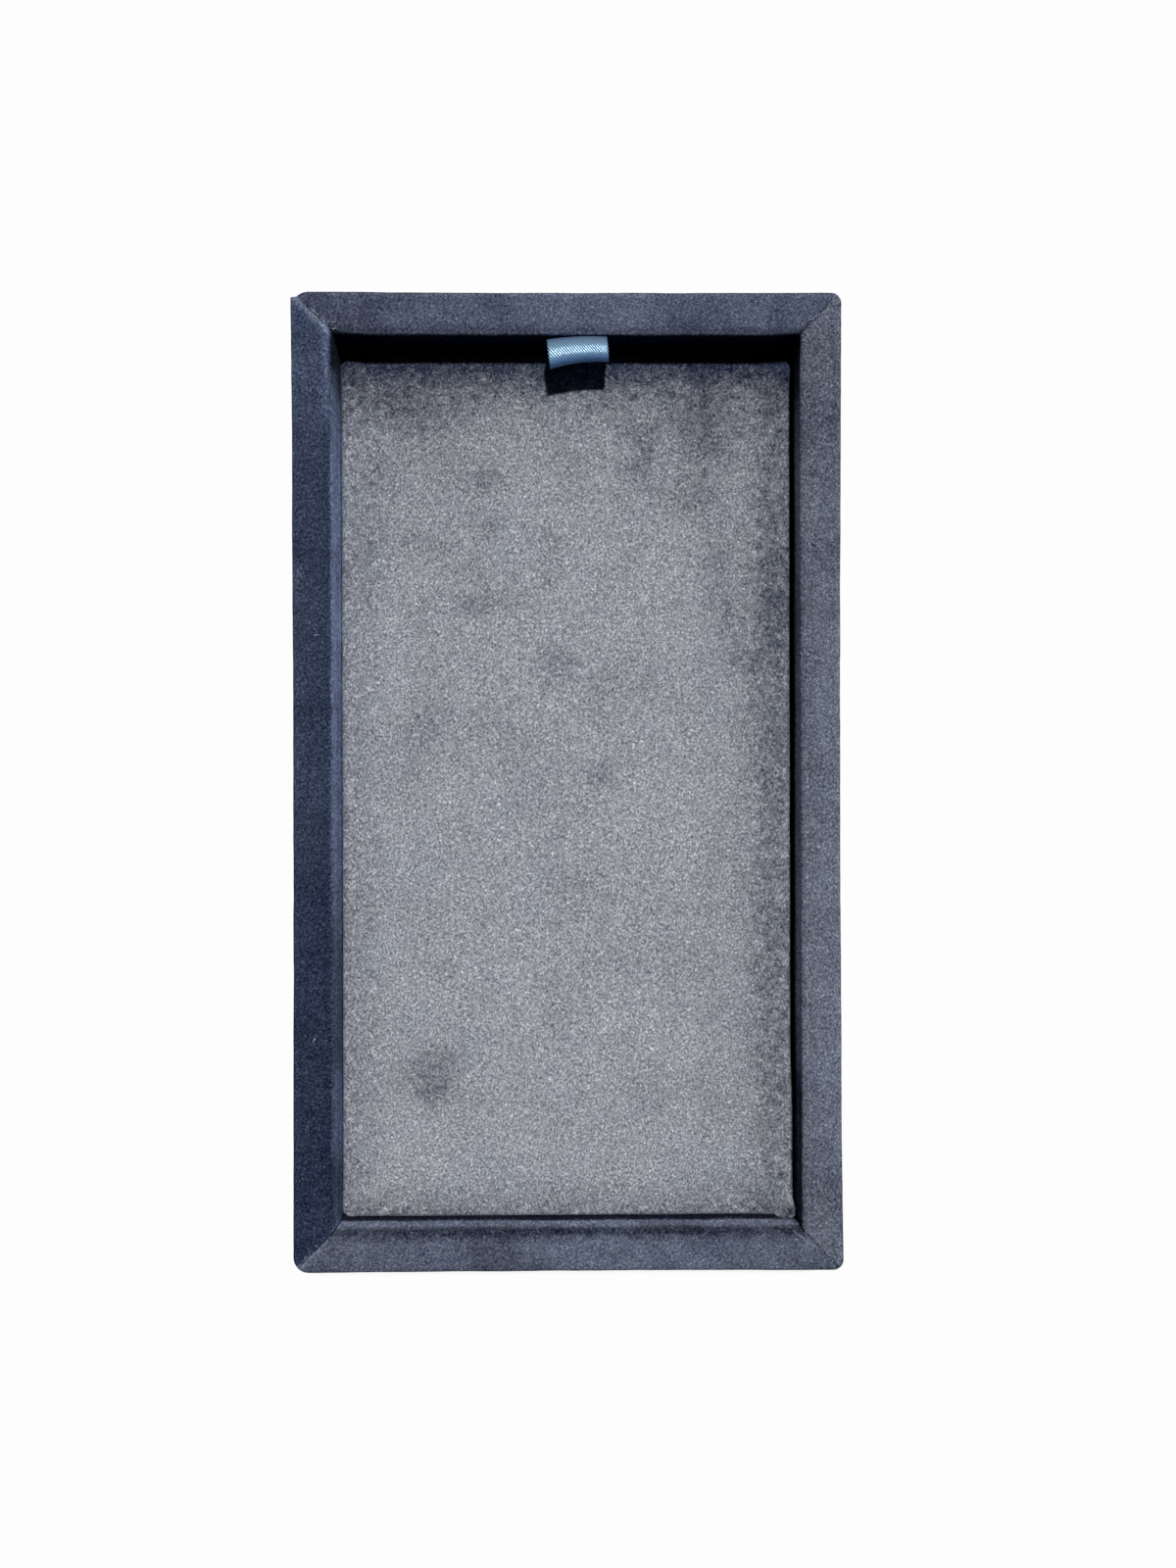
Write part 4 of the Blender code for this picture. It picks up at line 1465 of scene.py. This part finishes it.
# %% Thread tools
thread_material, tree, place = new_material("loose_thread")
thread_tone = calc(tree, "SUBTRACT", noise_at(tree, place, 3000.0), 0.3)
thread_tone = calc(tree, "MULTIPLY", thread_tone, 2.5, clamp=True)
coat(thread_material, {
    "Base Color": mix(tree, thread_tone, paint(104, 116, 136), paint(198, 206, 220)),
    "Roughness": 0.8,
})


def threads_piece(name, threads, body):
    """Make thin round threads from lists of points, as one mesh piece."""
    line = bpy.data.curves.new(name, "CURVE")
    line.dimensions = "3D"
    line.bevel_mode = "ROUND"
    line.bevel_depth = 1.0
    line.bevel_resolution = 1
    line.resolution_u = 3
    line.use_fill_caps = True
    for points, radius in threads:
        spline = line.splines.new("NURBS")
        spline.points.add(len(points) - 1)
        spline.order_u = 3
        spline.use_endpoint_u = True
        for slot, point in zip(spline.points, points):
            slot.co = (*point, 1)
            slot.radius = radius
    holder = bpy.data.objects.new(name + "_line", line)
    bpy.context.scene.collection.objects.link(holder)
    finished = holder.evaluated_get(bpy.context.evaluated_depsgraph_get())
    mesh = bpy.data.meshes.new_from_object(finished)
    bpy.data.objects.remove(holder)
    mesh.name = name
    piece = bpy.data.objects.new(name, mesh)
    mesh.materials.clear()
    mesh.materials.append(thread_material)
    bpy.context.scene.collection.objects.link(piece)
    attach(piece, body)
    return piece


print("Thread tools ready")

# %% Where threads and lint lie
corners = {"top_left": (-1, 1), "top_right": (1, 1), "bottom_right": (1, -1), "bottom_left": (-1, -1)}
seam_routes = {
    "top_left": [[(4.6, -0.3), (5.6, -0.4), (6.3, -0.25)], [(6.9, -0.35), (8.0, -0.2), (8.9, -0.1)]],
    "top_right": [
        [
            (1.5, -0.4), (2.4, 0.0), (3.1, 0.0), (4.1, 0.45), (4.7, 0.5), (5.1, 0.1), (5.8, -0.1),
            (6.6, -0.25), (7.4, -0.45), (8.2, -0.7), (8.9, -0.65),
        ],
        [(7.0, 0.1), (7.1, 1.0), (7.1, 1.9), (7.4, 2.4)],
    ],
    "bottom_right": [[(3.4, 0.15), (4.4, 0.05)]],
    "bottom_left": [[(1.6, 0.3), (2.4, 0.15)]],
}
loose_counts = {"top_left": 90, "top_right": 16, "bottom_right": 34, "bottom_left": 22}
loose_asides = {"top_left": 0.15, "top_right": 0.0, "bottom_right": -0.3, "bottom_left": 0.0}
lint_places = [
    (-37.5, 74.8), (-38.0, 73.5), (37.8, 78.8), (38.8, 72.0), (31.0, 78.3), (31.9, 78.4),
    (-41.2, -78.0), (-13.4, 75.4), (43.6, 35.1), (-40.4, 24.0), (12.6, -76.6), (-30.6, 76.8),
    (41.3, -33.0), (-41.5, -42.0),
]
corner_thread = [
    (35.3, -73.1, 18.9), (36.1, -73.1, 21.6), (36.9, -73.5, 23.65), (38.3, -74.6, 24.1),
    (39.4, -75.3, 24.1), (40.5, -76.0, 24.1),
]
thread_rise = 0.00009
thread_radius = 0.00004
route_rise = 0.00015
route_radius = 0.00005
lint_radius = 0.000065
jitter = 0.00005
print("Routes along the mitres:", sum(len(runs) for runs in seam_routes.values()))


# %% Rules for a thread
def on_mitre(corner, along, aside, rise):
    """A point by its distance from the outer corner along the mitre, and beside it, in mm."""
    side_x, side_y = corners[corner]
    x = side_x * (half_width - (along - aside) / 1000 / math.sqrt(2))
    y = side_y * (half_length - (along + aside) / 1000 / math.sqrt(2))
    return Vector((x, y, rim_height + rise))


def crooked(points):
    """Points halved once, each pushed a little aside."""
    fuller = []
    for here, there in zip(points, points[1:]):
        fuller += [here, (here + there) / 2]
    fuller.append(points[-1])
    return [point + Vector((dice.gauss(0, jitter), dice.gauss(0, jitter), 0)) for point in fuller]


def loose_end(start, length, bend=0.7):
    """A short thread that lies where it fell."""
    angle = dice.uniform(0, 2 * math.pi)
    points = [start]
    for step in range(3):
        angle += dice.uniform(-bend, bend)
        hop = Vector((math.cos(angle), math.sin(angle), 0)) * length / 3
        points.append(points[-1] + hop + Vector((0, 0, dice.uniform(0, jitter))))
    return points


print("A thread is pushed aside by about", jitter * 1000, "mm at each point")

# %% Lay the threads and the lint
dice = random.Random(7)
seam_threads = []
for corner, runs in seam_routes.items():
    for run in runs:
        points = [on_mitre(corner, along, aside, route_rise) for along, aside in run]
        seam_threads.append((crooked(points), route_radius))
seam_threads.append((crooked([Vector(point) / 1000 for point in corner_thread]), route_radius))
for corner, count in loose_counts.items():
    for number in range(count):
        aside = dice.gauss(loose_asides[corner], 0.25)
        start = on_mitre(corner, dice.uniform(1.8, 9.2), aside, thread_rise / 3)
        end = loose_end(start, dice.uniform(0.0003, 0.0009))
        seam_threads.append((end, dice.uniform(0.35, 0.65) * thread_radius))
for x, y in lint_places:
    start = Vector((x / 1000, y / 1000, rim_height + thread_rise))
    seam_threads.append((loose_end(start, dice.uniform(0.0004, 0.0008), bend=1.6), lint_radius))
threads_piece("seam_threads", seam_threads, "tray")
print("Threads and lint:", len(seam_threads))

# %% [markdown]
# ## Floor
#
# The photograph is cut out on white. A white floor gives the same ground and still catches the
# tray's shadow: camera rays see it mostly as plain white, mixed with a share of a real matt floor.

# %% Floor
floor_size = 3.0
floor_drop = 0.00005
floor_shadow_share = 0.15
floor_paint = (0.9, 0.9, 0.9, 1)
floor_bm = bmesh.new()
bmesh.ops.create_grid(floor_bm, x_segments=1, y_segments=1, size=floor_size / 2)
bmesh.ops.translate(floor_bm, vec=(0, 0, -floor_drop), verts=floor_bm.verts)
floor_material = bpy.data.materials.new("floor")
floor_material.use_nodes = True
tree = floor_material.node_tree
tree.nodes.clear()
plain_share = calc(tree, "MULTIPLY", seen_directly(tree), 1 - floor_shadow_share)
matt = add(tree, "ShaderNodeBsdfDiffuse", {"Color": floor_paint}).outputs[0]
plain = add(tree, "ShaderNodeEmission", {"Color": white, "Strength": 1.0}).outputs[0]
both = add(tree, "ShaderNodeMixShader", {0: plain_share, 1: matt, 2: plain}).outputs[0]
add(tree, "ShaderNodeOutputMaterial", {0: both})
floor = show("floor", floor_bm, floor_material)
print("Floor", floor_size, "m wide")
